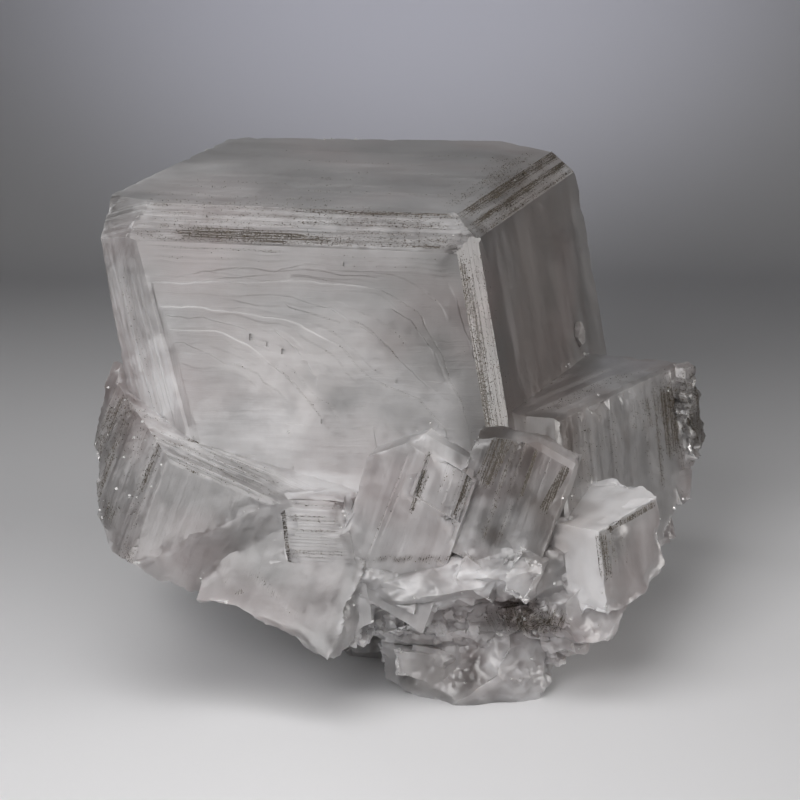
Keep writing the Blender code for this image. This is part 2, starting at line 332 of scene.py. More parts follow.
def front_lines():
    """Fine growth edges between and beside the terraces of the large front face."""
    lines = []
    outer = [(60, 11), (34, 9.5), (20, 9.5), (11, 11), (7, 16), (5, 24), (4.4, 36)]
    inner = [(60, 30), (50, 30), (44, 33), (38, 38), (36, 42)]
    edges = [resample(line, 36) for line in [outer, *TERRACES, inner]]
    for level, (near, far) in enumerate(zip(edges, edges[1:])):
        for share in (0.16, 0.36, 0.52, 0.7, 0.86):
            share += between(-0.06, 0.06)
            path = wobble(near * (1 - share) + far * share, 0.9, level + share * 5)
            first = one_of((0, 4, 9, 14))
            last = one_of((22, 28, 36))
            path = on_terrace(path[first:last], level)
            half = len(path) // 2
            rise = between(0.02, 0.05)
            # the first half of each line gets whiteness as painted light, the second half dust as painted
            # shade
            lines.append(Line(path[:half + 1], 0.12, rise, 0, between(0, 0.35)))
            lines.append(Line(path[half:], 0.12, rise, between(0, 0.35), between(0, 0.15)))
    for level, curve in VEINS:
        path = wobble(resample(curve, 30), 0.5, level + len(curve))
        lines.append(Line(on_terrace(path, level), 0.12, between(0.06, 0.1), 0, 0.35))
    for number, terrace in enumerate(TERRACES):
        path = resample(terrace, 40)
        for level in (number, number + 1):
            # along each terrace edge the upper part is painted white as light, and the rest dusty as painted
            # shade
            lines.append(Line(on_terrace(path[:26], level), 0.12, 0, 0, 0.6))
            lines.append(Line(on_terrace(path[24:], level), 0.12, 0, 0.35, 0.1))
    for down, dusty in ((6.9, 0.5), (7.6, 0.15), (8.6, 0.3), (9.6, 0.1)):
        lines.append(Line([(60, down, 0), (33, down + 0.2, 0)], 0.16, 0.04, dusty, 0.1))
        lines.append(Line([(31, down + 0.4, 0), (5, down + 0.6, 0)], 0.14, 0.04, dusty * 0.6, 0.2))
    return lines


LINES = {"front": front_lines()}
print(len(LINES["front"]), "growth lines on the front face")

# %% [markdown]
# The bevels carry most of the dust: level bands over the front face, and lines along the crest and
# down the right of the front face. Each bevel is a slope on which two of the measures always add up
# to the same sum, so a place on it is told by how far along it and how far across it lies. Heavy
# bands are made of several lines with different ends, because real dust thins out unevenly.

# %% Lines on the bevels and the top
BEVELS = [
    # the measures that add up, their sum, and which way each counts across the bevel
    ((0, 1, 1), 6.1, (0, 1, -1)),
    ((1, 1, 0), 3.9, (1, -1, 0)),
    ((1, 0, 1), 3.3, (1, 0, -1)),
]
BEVEL_DUST = [
    # bevel, place across it, half width, dust, and the ends along it
    (0, -5.4, 0.45, 0.75, 36, 2), (0, -5.4, 0.3, 0.35, 62, 38), (0, -3.2, 0.2, 0.4, 60, 4),
    (0, -1.8, 0.5, 0.5, 34, 3), (0, -0.6, 0.25, 0.35, 60, 30), (0, 1.0, 0.25, 0.4, 30, 3),
    (0, 2.2, 0.3, 0.5, 33, 3), (0, 3.4, 0.6, 0.5, 31, 3), (0, 4.4, 0.35, 0.6, 32, 4),
    (0, 0.9, 0.45, 0.45, 59, 38), (0, 1.9, 0.5, 0.65, 53, 34), (0, 2.7, 0.5, 0.85, 56, 29),
    (0, 3.5, 0.5, 0.85, 51, 24), (0, 4.3, 0.5, 1, 54, 33), (0, 5.2, 0.25, 0.5, 60, 30),
    (0, 3.6, 0.4, 0.35, 62, 56),
    (1, 3.1, 0.7, 0.9, 4, 88), (1, 1.9, 0.2, 0.4, 4, 88), (1, -0.4, 0.4, 0.9, 4, 88),
    (1, -1.7, 0.2, 0.3, 4, 88), (1, -3.2, 0.25, 0.5, 4, 88),
    (2, 2.6, 0.65, 1, 6, 46), (2, 1.4, 0.25, 0.6, 6, 46), (2, 0.3, 0.3, 0.45, 6, 46),
    (2, -1.4, 0.15, 0.4, 6, 46), (2, -3.2, 0.3, 0.3, 6, 46),
]


def on_bevel(number, along, across):
    """A place on that bevel, in the measures a, b and c."""
    use, total, signs = BEVELS[number]
    place = (np.array(use) * total + np.array(signs) * across) / 2
    place[np.argmin(use)] = along
    return place


def bevel_lines():
    lines = []
    for bevel, across, half_width, dust, start, end in BEVEL_DUST:
        ends = [on_bevel(bevel, along, across) for along in (start, end)]
        lines.append(Line(ends, half_width, 0, dust))
    for across in np.arange(-5.6, 5.6, 0.7):
        ends = [on_bevel(0, along, across) for along in (between(34, 62), between(2, 30))]
        lines.append(Line(ends, 0.2, 0, one_of((0, 0.2, 0.4)), between(0, 0.3)))
    return lines


def top_lines():
    """Faint level lines near the crest and the left end of the top face."""
    lines = []
    for left in (4.6, 5.6, 6.4, 8.3, 9.1, 11.5):
        ends = [(left, 0, 8), (left, 0, between(60, 86))]
        lines.append(Line(ends, 0.16, 0.05, between(0.05, 0.35), 0.1))
    for back in (7.2, 8.4, 10.1, 12.6, 15.5, 19.8, 24.5, 31, 38, 47, 58, 69):
        near = between(6, 30)
        ends = [(between(45, 66), 0, back), (near, 0, back)]
        lines.append(Line(ends, 0.2, 0.04, between(0.1, 0.4), 0.15))
    for left, back in ((38.3, 38.8), (35.6, 36.8), (32.5, 35.4), (29.5, 40)):
        lines.append(Line([(left + 3, 0, back + 1.5), (left, 0, back)], 0.5, 0, 0.5))
    return lines


LINES["bevel"] = bevel_lines()
LINES["top"] = top_lines()
print(len(LINES["bevel"]) + len(LINES["top"]), "on the bevels and the top")

# %% [markdown]
# On the other faces the lines are straight and run one way: down the right face and the narrow left
# one, down the blades with bands of dust, along the striated band and flank of the lower left
# crystal, and level on the small ribbed crystal. Their number, spacing and reach follow the real
# ones, and chance gives each its own height, dust and whiteness. Drawing them one by one would be
# truer still, but nobody could tell.

# %% Lines on the other faces
def side_lines():
    """Lines down the right face, parallel to its front edge, with a thin veil of dust."""
    lines = []
    for back in np.arange(4.2, 90, 3.4):
        back += between(-1.2, 1.2)
        top = between(4.5, 22)
        ends = [(0, top, back), (0, between(32, 52), back)]
        lines.append(Line(ends, 0.22, 0.015, between(0, 0.1), 0.05))
    return lines


def left_lines():
    """Lines down the bright narrow face at the front left."""
    lines = []
    for back in np.arange(0.25, 9, 0.42):
        back += between(-0.1, 0.1)
        top, bottom = between(8, 16), between(36, 46)
        ends = [(61.7 - 0.1 * down + 2.1 * back, down, back) for down in (top, bottom)]
        rise = between(0.03, 0.08)
        lines.append(Line(ends, 0.13, rise, one_of((0, 0, 0.1, 0.35)), between(0.1, 0.5)))
    return lines


CENTRE_DUST = [
    # place from the left, lean, top, bottom, half width, dust
    (13.1, 0.05, 3, 24, 0.14, 0.5), (12.2, 0.05, 6, 20, 0.1, 0.2), (9.9, -0.06, 1, 4.5, 0.3, 0.9),
    (9.5, -0.03, 4.5, 13, 0.35, 1), (8.7, 0, 5, 11, 0.25, 0.6), (5.6, 0, -1, 8, 0.3, 0.35),
    (4.4, 0, -1, 9, 0.2, 0.3), (2.6, 0, -1, 10, 0.3, 0.4), (1.5, 0.02, -1, 11, 0.3, 0.95),
    (0.7, 0.03, -1, 10, 0.45, 0.6),
]
BLADE_DUST = [
    (15.4, 0.04, 3, 11, 0.45, 0.7), (14.2, 0.03, 2, 12, 0.75, 1), (12.6, 0.12, 1.5, 12, 0.55, 1),
    (11.2, 0.05, 1, 14, 0.3, 0.5), (9.6, 0.03, 0, 12, 0.4, 0.35), (7.5, 0, 0.5, 10.5, 0.3, 1),
    (4.6, 0, 0.5, 9, 0.12, 0.3), (1.2, 0.16, 0.4, 10.5, 0.75, 1), (11.5, 0.02, 12, 21, 0.5, 0.5),
    (8.6, 0, 11, 20, 0.3, 0.4),
]


def blade_lines(table, levels, height):
    """The dusty steps of a blade, on each of its levels."""
    lines = []
    for left, lean, top, bottom, half_width, dust in table:
        for back in levels:
            ends = [(left + lean * (down - top), down, back) for down in (top, bottom)]
            lines.append(Line(ends, half_width, height, dust, 0.1))
    return lines


def on_band(left, down):
    """A place on the striated band of the lower left crystal."""
    return (left, down, (7.7 + 0.116 * left - down) / 1.55)


def band_lines():
    """The band's striations, with three dusty lines along it."""
    lines = [
        Line([on_band(34.5, 6.9), on_band(18.5, 2.9)], 0.3, 0.1, 1),
        Line([on_band(33, 11.4), on_band(15, 10.4)], 0.25, 0.1, 0.8),
        Line([on_band(24, 11), on_band(14, 9.6)], 0.2, 0.08, 0.7),
    ]
    for number in range(26):
        down = 2.4 + number * 0.36 + between(-0.1, 0.1)
        far = between(28, 52)
        near = between(11, 22)
        slope = 0.06 + 0.12 * (1 - number / 26)
        ends = [on_band(far, down + slope * (far - near)), on_band(near, down)]
        lines.append(Line(ends, 0.11, between(0.03, 0.08), between(0, 0.5), between(0, 0.3)))
    return lines


def flank_lines():
    """The striated left flank of the lower left crystal."""
    lines = []
    for left in np.arange(36, 56, 0.55):
        left += between(-0.15, 0.15)
        top, bottom = between(0, 9), between(18, 31)
        back = (left - 34) / 2.8
        ends = [(left, top, back), (left - 0.5, bottom, back)]
        lines.append(Line(ends, 0.14, between(0.03, 0.1), between(0, 0.75), between(0, 0.5)))
    return lines


def rib_lines():
    """Level ribs on the small crystal, and the dotted dusty edge at its left."""
    lines = []
    for down in np.arange(1.1, 14, 0.62):
        down += between(-0.12, 0.12)
        ends = [(12, down, 0), (between(0.2, 4), down, 0)]
        lines.append(Line(ends, 0.13, 0.08, one_of((0, 0.2, 0.6)), 0.4))
    return lines + [Line([(11.5, 1, 0), (12, 14, 0)], 0.35, 0, 0.8)]


def shelf_side_lines():
    """Dust streaks down the shelf crystal's long face, heaviest under its far end."""
    lines = []
    for back in np.arange(3, 73, 1.9):
        back += between(-0.7, 0.7)
        heavy = 1.0 if 44 < back < 70 else 0.45
        ends = [(0, between(1, 3), back), (0, between(8, 24), back)]
        lines.append(Line(ends, between(0.2, 0.6), 0.06, between(0.1, 0.75) * heavy, 0.05))
    return lines


def shelf_top_lines():
    lines = []
    for left in (1.2, 2.1, 3.4, 5.2, 9, 13, 17):
        ends = [(left, 0, 2), (left + between(-0.5, 0.5), 0, between(40, 66))]
        lines.append(Line(ends, 0.18, 0.06, between(0, 0.3), 0.3))
    return lines


SMALL_SIDE_LINES = [
    Line([(0, 0.4, 0.9), (0, 9.3, 1.4)], 0.8, 0.05, 1),
    Line([(0, 0.9, 1), (0, 1.1, 16.5)], 0.45, 0.05, 0.9),
    Line([(0, 1.5, 3), (0, 7, 3.6)], 0.6, 0, 0.5),
    Line([(0, 2, 6), (0, 9, 6.6)], 0.5, 0, 0.3),
]


def facet_lines():
    """Cracks in the broken facet under the lower left crystal, given as places in mm."""
    lines = []
    for dust, places in (
        (0.7, [(-32.2, -52.8, 24.1), (-29.9, -52.6, 24.2)]),
        (0.4, [(-30.2, -51.2, 26.4), (-28.1, -51.1, 26.5), (-25.7, -52.5, 24.4), (-23.4, -53.7, 22.7)]),
        (0.25, [(-23.4, -53.7, 22.7), (-22.2, -55.3, 20.4), (-19, -55.3, 20.4)]),
        (0.2, [(-35, -48.6, 30), (-33.5, -50.4, 27.6), (-33, -52, 25.2)]),
    ):
        path = measures("lower_left", places)
        path[:, 2] = 4.5
        lines.append(Line(wobble(resample(path, 14), 0.5, len(lines)), 0.12, 0.12, dust, 0.2))
    return lines


LINES |= {
    "right": side_lines(),
    "left": left_lines(),
    "centre": blade_lines(CENTRE_DUST, (0, 0.7), 0.07),
    "blade": blade_lines(BLADE_DUST, (0,), 0.08),
    "band": band_lines(),
    "flank": flank_lines(),
    "ribs": rib_lines(),
    "shelf_side": shelf_side_lines(),
    "shelf_top": shelf_top_lines(),
    "small_side": SMALL_SIDE_LINES,
    "small_left": [Line([(0.4, 0.3, 0), (0.6, 9, 0)], 0.35, 0, 0.8)],
    "facet": facet_lines(),
}
print(sum(len(lines) for lines in LINES.values()), "growth lines in all")

# %% [markdown]
# Now each flat face is divided finely. Cutting the whole solid into equal cubes would leave stairs
# on its slanting faces, and a subdivision modifier would round its edges. So each face keeps its own
# outline, gets a regular field of points inside it, and the growth lines are put in as edges. A
# Delaunay triangulation then joins them with the best-shaped triangles. Faces that share an edge
# share the points along it, so the fine surface is closed where the solid is.

# %% Divide the faces
def face_axes(face, number):
    """An origin and two directions in the plane of the face: along its growth lines, and across."""
    normal = np.array(face.normal, float)
    normal /= np.linalg.norm(normal)
    if number is None:
        origin = corners_mm[face.verts[0].index]
        along = corners_mm[face.verts[1].index] - origin
    else:
        _, name, _, _, edge = ZONES[number]
        origin, edges = FRAMES[name]
        along = edges[:, EDGE_NUMBER[edge]].copy()
        if abs(along @ normal) > 0.9:
            along = edges[:, (EDGE_NUMBER[edge] + 1) % 3].copy()
    along -= normal * (along @ normal)
    along /= np.linalg.norm(along)
    return origin, along, np.cross(normal, along), normal


def inside_polygon(points, outline):
    """Which of the points lie inside the outline, by counting the sides that a ray crosses."""
    x, y = points[:, :1], points[:, 1:]
    x0, y0 = outline.T
    x1, y1 = np.roll(outline, -1, axis=0).T
    crosses = (y0 > y) != (y1 > y)
    where = x0 + (y - y0) * (x1 - x0) / np.where(y1 == y0, 1, y1 - y0)
    return (crosses & (x < where)).sum(1) % 2 == 1


def far_from(points, others, distance):
    """Which of the points are at least that far from every one of the others."""
    if not len(points) or not len(others):
        return np.ones(len(points), bool)
    keep = np.ones(len(points), bool)
    for start in range(0, len(others), 400):
        block = others[start:start + 400]
        gap = ((points[:, None] - block[None]) ** 2).sum(2).min(1)
        keep &= gap > distance**2
    return keep


LINE_SOFTNESS = 0.13  # how far a line fades on either side, in mm
OFF_FACE = 0.06  # a line further than this from a face's plane isn't on it, in mm
CRISP = ("front", "centre", "blade", "left", "ribs", "small_side", "small_left")


def frame_of(zone):
    """The corner and edges of the crystal that the zone is on."""
    return FRAMES[next(entry[1] for entry in ZONES if entry[0] == zone)]


def line_paths(zone, origin, along, across, normal, height, cell):
    """The growth lines that lie in this face, as pairs of flat paths on either side of each."""
    for line in LINES.get(zone, ()):
        corner, edges = frame_of(zone)
        path = corner + line.points @ edges.T
        if np.abs((path - origin) @ normal - height).max() > OFF_FACE:
            continue
        length = np.linalg.norm(np.diff(path, axis=0), axis=1).sum()
        path = resample(path, max(2, int(length / (1.1 * cell)) + 1))
        flat = np.stack([(path - origin) @ along, (path - origin) @ across], 1)
        direction = np.gradient(flat, axis=0)
        direction /= np.linalg.norm(direction, axis=1)[:, None]
        side = np.stack([-direction[:, 1], direction[:, 0]], 1) * line.half_width
        yield from (flat - side, flat + side)
        if zone in CRISP:
            side *= 1 + LINE_SOFTNESS / line.half_width
            yield from (flat - side, flat + side)


def inner_points(zone, outline, cell, axes, height):
    """Points inside a face: first along its growth lines, then a regular field between them."""
    points = np.zeros((0, 2))
    edges = []
    for path in line_paths(zone, *axes, height, cell):
        good = inside_polygon(path, outline) & far_from(path, outline, 0.1)
        good &= far_from(path, points, 0.07)
        start = len(points)
        number = start - 1 + np.cumsum(good)
        points = np.concatenate([points, path[good]])
        for i in range(len(path) - 1):
            if good[i] and good[i + 1]:
                edges.append((int(number[i]), int(number[i + 1])))
    low, high = outline.min(0), outline.max(0)
    rows = np.arange(low[1] + cell / 2, high[1], cell * 0.87)
    field = []
    for row, y in enumerate(rows):
        x = np.arange(low[0] + cell * (0.25 + 0.5 * (row % 2)), high[0], cell)
        field.append(np.stack([x, np.full(len(x), y)], 1))
    if field:
        field = np.concatenate(field)
        field = field + np.random.default_rng(len(field)).uniform(-0.12, 0.12, field.shape) * cell
        field = field[inside_polygon(field, outline)]
        field = field[far_from(field, outline, 0.55 * cell)]
        field = field[far_from(field, points, 0.5 * cell)]
        points = np.concatenate([points, field])
    return points, edges


# %% [markdown]
# The faces are then joined. The points along an edge of the solid are made once and used by both of
# its faces. Broken calcite is divided most finely where it can be seen from the front, since it
# sparkles there, and more coarsely at the back and underneath.

# %% Join the faces
def cell_of(face, number):
    """How finely the face is divided: broken calcite finely, unless it faces back or down."""
    if number is not None:
        return CELL.get(ZONES[number][0], USUAL_CELL)
    in_front = face.calc_center_median().y < 0.02 and face.normal.y < 0.3 and face.normal.z > -0.8
    return FRONT_BREAK_CELL if in_front else BACK_BREAK_CELL


def divide_edges():
    """The shared points along every edge of the solid, as numbers into one list of points."""
    points = [tuple(corner) for corner in corners_mm]
    along_edge = {}
    for edge in shape.edges:
        cell = min(cell_of(face, face_zone[face.index]) for face in edge.link_faces)
        start, end = (corners_mm[vert.index] for vert in edge.verts)
        parts = max(1, round(float(np.linalg.norm(end - start)) / cell))
        numbers = list(range(len(points), len(points) + parts - 1))
        points += [tuple(start + (end - start) * (i / parts)) for i in range(1, parts)]
        along_edge[edge.index] = (edge.verts[0].index, numbers)
    return points, along_edge


def outline_numbers(face, along_edge):
    numbers = []
    for loop in face.loops:
        first, middle = along_edge[loop.edge.index]
        numbers.append(loop.vert.index)
        numbers += middle if first == loop.vert.index else middle[::-1]
    return numbers


def fine_surface():
    """All points, the triangles between them, and the face of the solid that each came from."""
    points, along_edge = divide_edges()
    triangles, sources = [], []
    for face in shape.faces:
        number = face_zone[face.index]
        axes = face_axes(face, number)
        origin, along, across, _ = axes
        rim = outline_numbers(face, along_edge)
        ring = np.array([points[i] for i in rim])
        outline = np.stack([(ring - origin) @ along, (ring - origin) @ across], 1)
        zone = None if number is None else ZONES[number][0]
        height = float(np.mean((ring - origin) @ axes[3]))
        inner, lines = inner_points(zone, outline, cell_of(face, number), axes, height)
        count = len(rim)
        flat = [Vector(p) for p in np.concatenate([outline, inner])]
        links = [(a + count, b + count) for a, b in lines]
        verts, _, faces, came_from, _, _ = geometry.delaunay_2d_cdt(
            flat, links, [list(range(count))], 1, 1e-5
        )
        numbers = []
        for vert, old in zip(verts, came_from):
            on_rim = [i for i in old if i < count]
            if on_rim:
                numbers.append(rim[on_rim[0]])
                continue
            numbers.append(len(points))
            points.append(tuple(origin + vert[0] * along + vert[1] * across + height * axes[3]))
        for corners in faces:
            triangles.append([numbers[i] for i in corners])
            sources.append(face.index)
    return np.array(points), triangles, sources


points_mm, triangles, sources = fine_surface()
sizes = sorted({len(t) for t in triangles})
print(len(points_mm), "points,", len(triangles), "triangles; corners per face:", sizes)

# %% [markdown]
# The fine surface is still dead flat between its edges. Growth lines rise or fall by a few
# hundredths of a millimetre, and also say how dusty and how white the surface is beside them. Each
# point moves a little way along the surface's own direction. A displacement texture could do the
# same in the shader, but wouldn't be in the mesh.

# %% Move the points
face_normals = np.array([face.normal for face in shape.faces])
face_numbers = np.array([-1 if number is None else number for number in face_zone])
triangles = np.array(triangles)
sources = np.array(sources)


def point_normals():
    """Each point's direction out of the solid, and how sharply the faces that meet there turn."""
    total = np.zeros_like(points_mm)
    count = np.zeros(len(points_mm))
    for column in triangles.T:
        np.add.at(total, column, face_normals[sources])
        np.add.at(count, column, 1)
    length = np.linalg.norm(total, axis=1)
    length[length == 0] = 1
    return total / length[:, None], 1 - length / np.maximum(count, 1)


def noise_at(points, size, seed, octaves=1):
    """Smooth noise from about -1 to 1 whose lumps are that many mm across."""
    values = np.zeros(len(points))
    weight = 1.0
    for octave in range(octaves):
        shift = Vector((seed * 13.7, seed * 5.1, octave * 31.3))
        scaled = points * (2**octave / size)
        values += weight * np.array([noise.noise(Vector(p) + shift) for p in scaled])
        weight *= 0.5
    return values


def distance_to(points, path, outward):
    """Each point's distance to a path, how far along it (0 to 1), and its side of it (-1 or 1)."""
    best = np.full(len(points), 1e9)
    where = np.zeros(len(points))
    side = np.ones(len(points))
    parts = len(path) - 1
    for i in range(parts):
        start, step = path[i], path[i + 1] - path[i]
        along = np.clip((points - start) @ step / (step @ step), 0, 1)
        offset = points - start - along[:, None] * step
        gap = np.linalg.norm(offset, axis=1)
        nearer = gap < best
        best[nearer] = gap[nearer]
        where[nearer] = (i + along[nearer]) / parts
        turn = np.einsum("ij,ij->i", np.cross(step, offset[nearer]), outward[nearer])
        side[nearer] = np.where(turn > 0, 1, -1)
    return best, where, side


def faces_in(zones):
    """Whether each triangle belongs to those zones."""
    numbers = [i for i, entry in enumerate(ZONES) if entry[0] in zones]
    return np.isin(face_numbers[sources], numbers)


def points_of(zones):
    """The numbers of the points that belong to faces of those zones."""
    return np.unique(triangles[faces_in(zones)])


def to_smooth_bevel(points):
    """The shift that takes each point of a stepped bevel to the flat bevel through the steps."""
    inside = measures("main", points)
    shift = np.zeros_like(points)
    for use, total, _ in BEVELS:
        off = total - inside @ use
        here = (np.abs(off) < 1.1) & (inside[:, np.argmin(use)] > total / 2)
        shift[here] = np.outer(off[here], FRAMES["main"][1] @ use / 2)
    return shift


def bevel_lay(points):
    """How far along and across its bevel each point lies, the same on all faces of its steps."""
    inside = measures("main", points)
    lay = np.zeros((len(points), 2))
    for use, total, signs in BEVELS:
        along = np.argmin(use)
        here = (np.abs(total - inside @ use) < 1.1) & (inside[:, along] > total / 2)
        lay[here, 0] = inside[here, along]
        lay[here, 1] = (inside[here] @ signs) / math.sqrt(2)
    return lay


def line_effects():
    """What the growth lines do: height and whiteness of every point, dust of every corner; some of the
    whiteness is painted light and some of the dust painted shade.
    """
    height = np.zeros(len(points_mm))
    dust = np.zeros(triangles.shape)
    milk = np.zeros(len(points_mm))
    for zone, lines in LINES.items():
        mine = points_of((zone,))
        if not len(mine):
            continue
        corner, edges = frame_of(zone)
        here = points_mm[mine]
        if zone == "bevel":
            here = here + to_smooth_bevel(here)
        dust_here = np.zeros(len(points_mm))
        for line in lines:
            path = corner + line.points @ edges.T
            gap, where, side = distance_to(here, path, normals[mine])
            fade = np.clip(np.minimum(where, 1 - where) * 9, 0, 1)
            near = np.clip(1 - (gap - line.half_width - 0.02) / (0.8 * LINE_SOFTNESS), 0, 1)
            slope = np.where(side > 0, np.exp(-gap / 2.5), -0.35 * np.exp(-gap / 0.8))
            height[mine] += line.height * slope * fade * (gap < 8)
            dust_here[mine] = np.maximum(dust_here[mine], line.dust * near * (0.1 + 0.9 * fade))
            milk[mine] = np.maximum(milk[mine], line.milk * near * fade)
        faces = faces_in((zone,))
        dust[faces] = dust_here[triangles[faces]]
    return height, dust, milk


normals, sharpness = point_normals()
lifted, dust, line_whiteness_and_painted_light = line_effects()
print("growth lines move the points by up to", round(np.abs(lifted).max(), 2), "mm")

# %% [markdown]
# The large crystal is worn. Its terraces are lower than in the solid and their edges waver, its
# square pits have narrowed to slits, and the steps of its bevels are rubbed down to smooth slopes.
# The solid could have been made worn at once, but it is easier to check with its plain true planes.

# %% Wear of the large crystal
TERRACE_WEAR = 0.6  # the share of each terrace's height that is left out, as its edge is worn down


def terrace_wear():
    """How far back every point of the large front face's terraces moves, in mm."""
    _, edges = FRAMES["main"]
    mine = points_of(("front", "back", "left"))
    back = measures("main", points_mm[mine])[:, 2]
    raised = (back < 0) & (back > -1)
    shift = np.zeros_like(points_mm)
    shift[mine[raised]] = np.outer(-TERRACE_WEAR * back[raised], edges[:, 2])
    return shift


# how far left and down each pit in the front face lies, and half its width, in mm
PITS = [(43, 23, 1.5), (40.2, 24.2, 1), (37.7, 25.4, 1.2), (32.6, 37.9, 1), (24, 9, 0.9), (18, 30, 0.8)]


def pit_wear():
    """The shift that makes narrow, shallow slits of the square pits in the front face."""
    inside = measures("main", points_mm)
    shift = np.zeros_like(points_mm)
    for left, down, size in PITS:
        aside = (inside[:, :2] - (left, down)) / size
        near = np.exp(-np.abs(aside).max(1) ** 4) * (np.abs(inside[:, 2]) < 2)
        depth = inside[:, 2] - inside[near > 0.3, 2].min()
        inward = np.stack([-0.6 * size * aside[:, 0] + 0.2 * size * aside[:, 1], 0 * depth, -0.5 * depth], 1)
        shift += near[:, None] * (inward @ FRAMES["main"][1].T)
    return shift


def bevel_wear():
    """How far every point of the stepped bevels moves towards the smooth bevel, worn unevenly."""
    mine = points_of(("bevel",))
    shift = np.zeros_like(points_mm)
    worn = np.clip(0.98 + 0.1 * noise_at(points_mm[mine], 14, 31, 3), 0.92, 1)
    shift[mine] = worn[:, None] * to_smooth_bevel(points_mm[mine])
    return shift


def gap_to(points, others):
    """Each point's distance to the nearest of the others."""
    tree = kdtree.KDTree(len(others))
    for i, place in enumerate(others):
        tree.insert(place, i)
    tree.balance()
    return np.array([tree.find(p)[2] for p in points])


def mask_of(numbers):
    """For each point whether its number is one of those."""
    mask = np.zeros(len(points_mm), bool)
    mask[numbers] = True
    return mask


def terrace_waver():
    """A shift within the large front face that makes its straight growth edges wavy."""
    on_front = mask_of(points_of(("front",)))
    beside = np.unique(triangles[~on_front[triangles].all(1)])
    border = np.intersect1d(np.flatnonzero(on_front), beside)
    inner = np.setdiff1d(np.flatnonzero(on_front), beside)
    fade = np.clip(gap_to(points_mm[inner], points_mm[border]) / 3, 0, 1)
    shift = np.zeros_like(points_mm)
    for axis in (0, 1):
        waver = 0.5 * noise_at(points_mm[inner], 5, 51 + axis)
        waver += 0.22 * noise_at(points_mm[inner], 1.7, 53 + axis)
        shift[inner] += np.outer(fade * waver, FRAMES["main"][1][:, axis])
    return shift


worn = terrace_wear() + bevel_wear() + pit_wear() + terrace_waver()
print("wear moves the points by up to", round(np.linalg.norm(worn, axis=1).max(), 2), "mm")

# %% [markdown]
# Sharp edges lose small chips, as they do in every drawer and on every stand. Broken calcite is
# glassy, with smooth hollows, and where it was crushed it crumbles into small rhombs, because it
# splits along its three cleavages. Sculpting would do for one specimen. Noise in the crystal's own
# measures gives the same forms and can be run again when the solid changes.

# %% Chips and breaks
def hollows(points, size, seed, octaves=2):
    """Smooth hollows that meet in sharp crests, as in glassy broken calcite: from about -1 to 1."""
    return 1 - 4 * np.abs(noise_at(points, size, seed, octaves))


def small_rhombs(points, size, seed):
    """A value from -1 to 1 for each small rhomb that calcite breaks into along its cleavages."""
    inside = measures("main", points) / size
    for axis in range(3):
        inside[:, axis] += 0.35 * noise_at(points, 2.5 * size, seed + axis, 2)
    return np.array([2 * noise.cell(Vector(p) + Vector((seed, 0, 0))) - 1 for p in inside])


def gap_to_edges(points):
    """Each point's distance to the nearest outward edge of the solid."""
    along = []
    for edge in shape.edges:
        if edge.is_convex and edge.calc_face_angle(0) > 0.7:
            start, end = (corners_mm[vert.index] for vert in edge.verts)
            along.append(resample([start, end], 2 + int(np.linalg.norm(end - start) / 0.4)))
    return gap_to(points, np.concatenate(along))


def point_widths():
    """For each point, how narrow the narrowest face of the solid is that it belongs to, in mm."""
    widths = np.full(len(points_mm), 1e9)
    for face in shape.faces:
        around = sum(edge.calc_length() for edge in face.edges)
        mine = np.unique(triangles[sources == face.index])
        widths[mine] = np.minimum(widths[mine], 2 * face.calc_area() / around / MM)
    return widths


def nearness(points, middle, reach, start=1.5, uneven=1):
    """1 near that middle and 0 far from it; start says after how many reaches it is 0."""
    return np.clip(start - np.linalg.norm((points - middle) / reach, axis=1) * uneven, 0, 1)


CHIP_REACH = 2.6  # how far a large chip reaches in from its edge, in mm
UNCHIPPED = ("front", "top", "right", "bevel", "left", "corner", "back")
WAVY = (
    "smooth", "facet", "tooth", "block", "underside", "centre_edge", "shelf_edge", "small_left", "small_top"
)
CRUMBLY = [
    # where broken calcite is crumbly and not glassy: middle and reach in mm
    ((3, -46, 14), (13, 6, 3.5)),
    ((21, -47, 16), (6, 6, 4)),
    ((-9, -44, 12), (5, 8, 5)),
    ((56, 22, 34), (6, 14, 16)),
]

broken_faces = face_numbers[sources] < 0
rough = mask_of(triangles[broken_faces]) & ~mask_of(triangles[~broken_faces])
widths = point_widths()
move = lifted + 0.05 * noise_at(points_mm, 9, 1, 2)

chips = np.clip(noise_at(points_mm, 2.4, 2, 3) - 0.1, 0, 1)
edge_wear = np.clip(sharpness * 6, 0, 1) * np.clip(widths / 3, 0, 1)
edge_wear[points_of(("bevel",))] *= 0.2
move -= edge_wear * (0.05 + 0.65 * chips)

can_chip = np.flatnonzero(~mask_of(points_of(UNCHIPPED)))
chipped = np.zeros(len(points_mm))
chipped[can_chip] = np.clip(1 - gap_to_edges(points_mm[can_chip]) / CHIP_REACH, 0, 1)
chipped[can_chip] *= np.clip(2.4 * noise_at(points_mm[can_chip], 6, 14, 2), 0, 1)
chipped *= np.clip(widths / 5, 0, 1)
move -= 1.3 * chipped

wavy = points_of(WAVY)
move[wavy] += 0.3 * noise_at(points_mm[wavy], 9, 8, 2) + 0.07 * noise_at(points_mm[wavy], 2.2, 9, 2)
bruised = points_of(("tooth", "underside", "facet", "block"))
move[bruised] += 0.35 * hollows(points_mm[bruised], 12, 23)

here = points_mm[rough]
crumbly = np.clip(1.2 * noise_at(here, 13, 6, 2) - 0.1, 0, 1)
for middle, reach in CRUMBLY:
    crumbly = np.maximum(crumbly, nearness(here, middle, reach, 1.6))
move[rough] += 0.4 * hollows(here, 11, 3) + 0.14 * hollows(here, 4, 4)
move[rough] += crumbly * (0.45 * small_rhombs(here, 1.8, 5) + 0.15 * noise_at(here, 1.3, 5, 2))
move[rough] += 0.03 * noise_at(here, 1.5, 15, 2)
moved = points_mm + normals * move[:, None] + worn
print(int(rough.sum()), "rough points; moved by", round(move.min(), 2), "to", round(move.max(), 2), "mm")

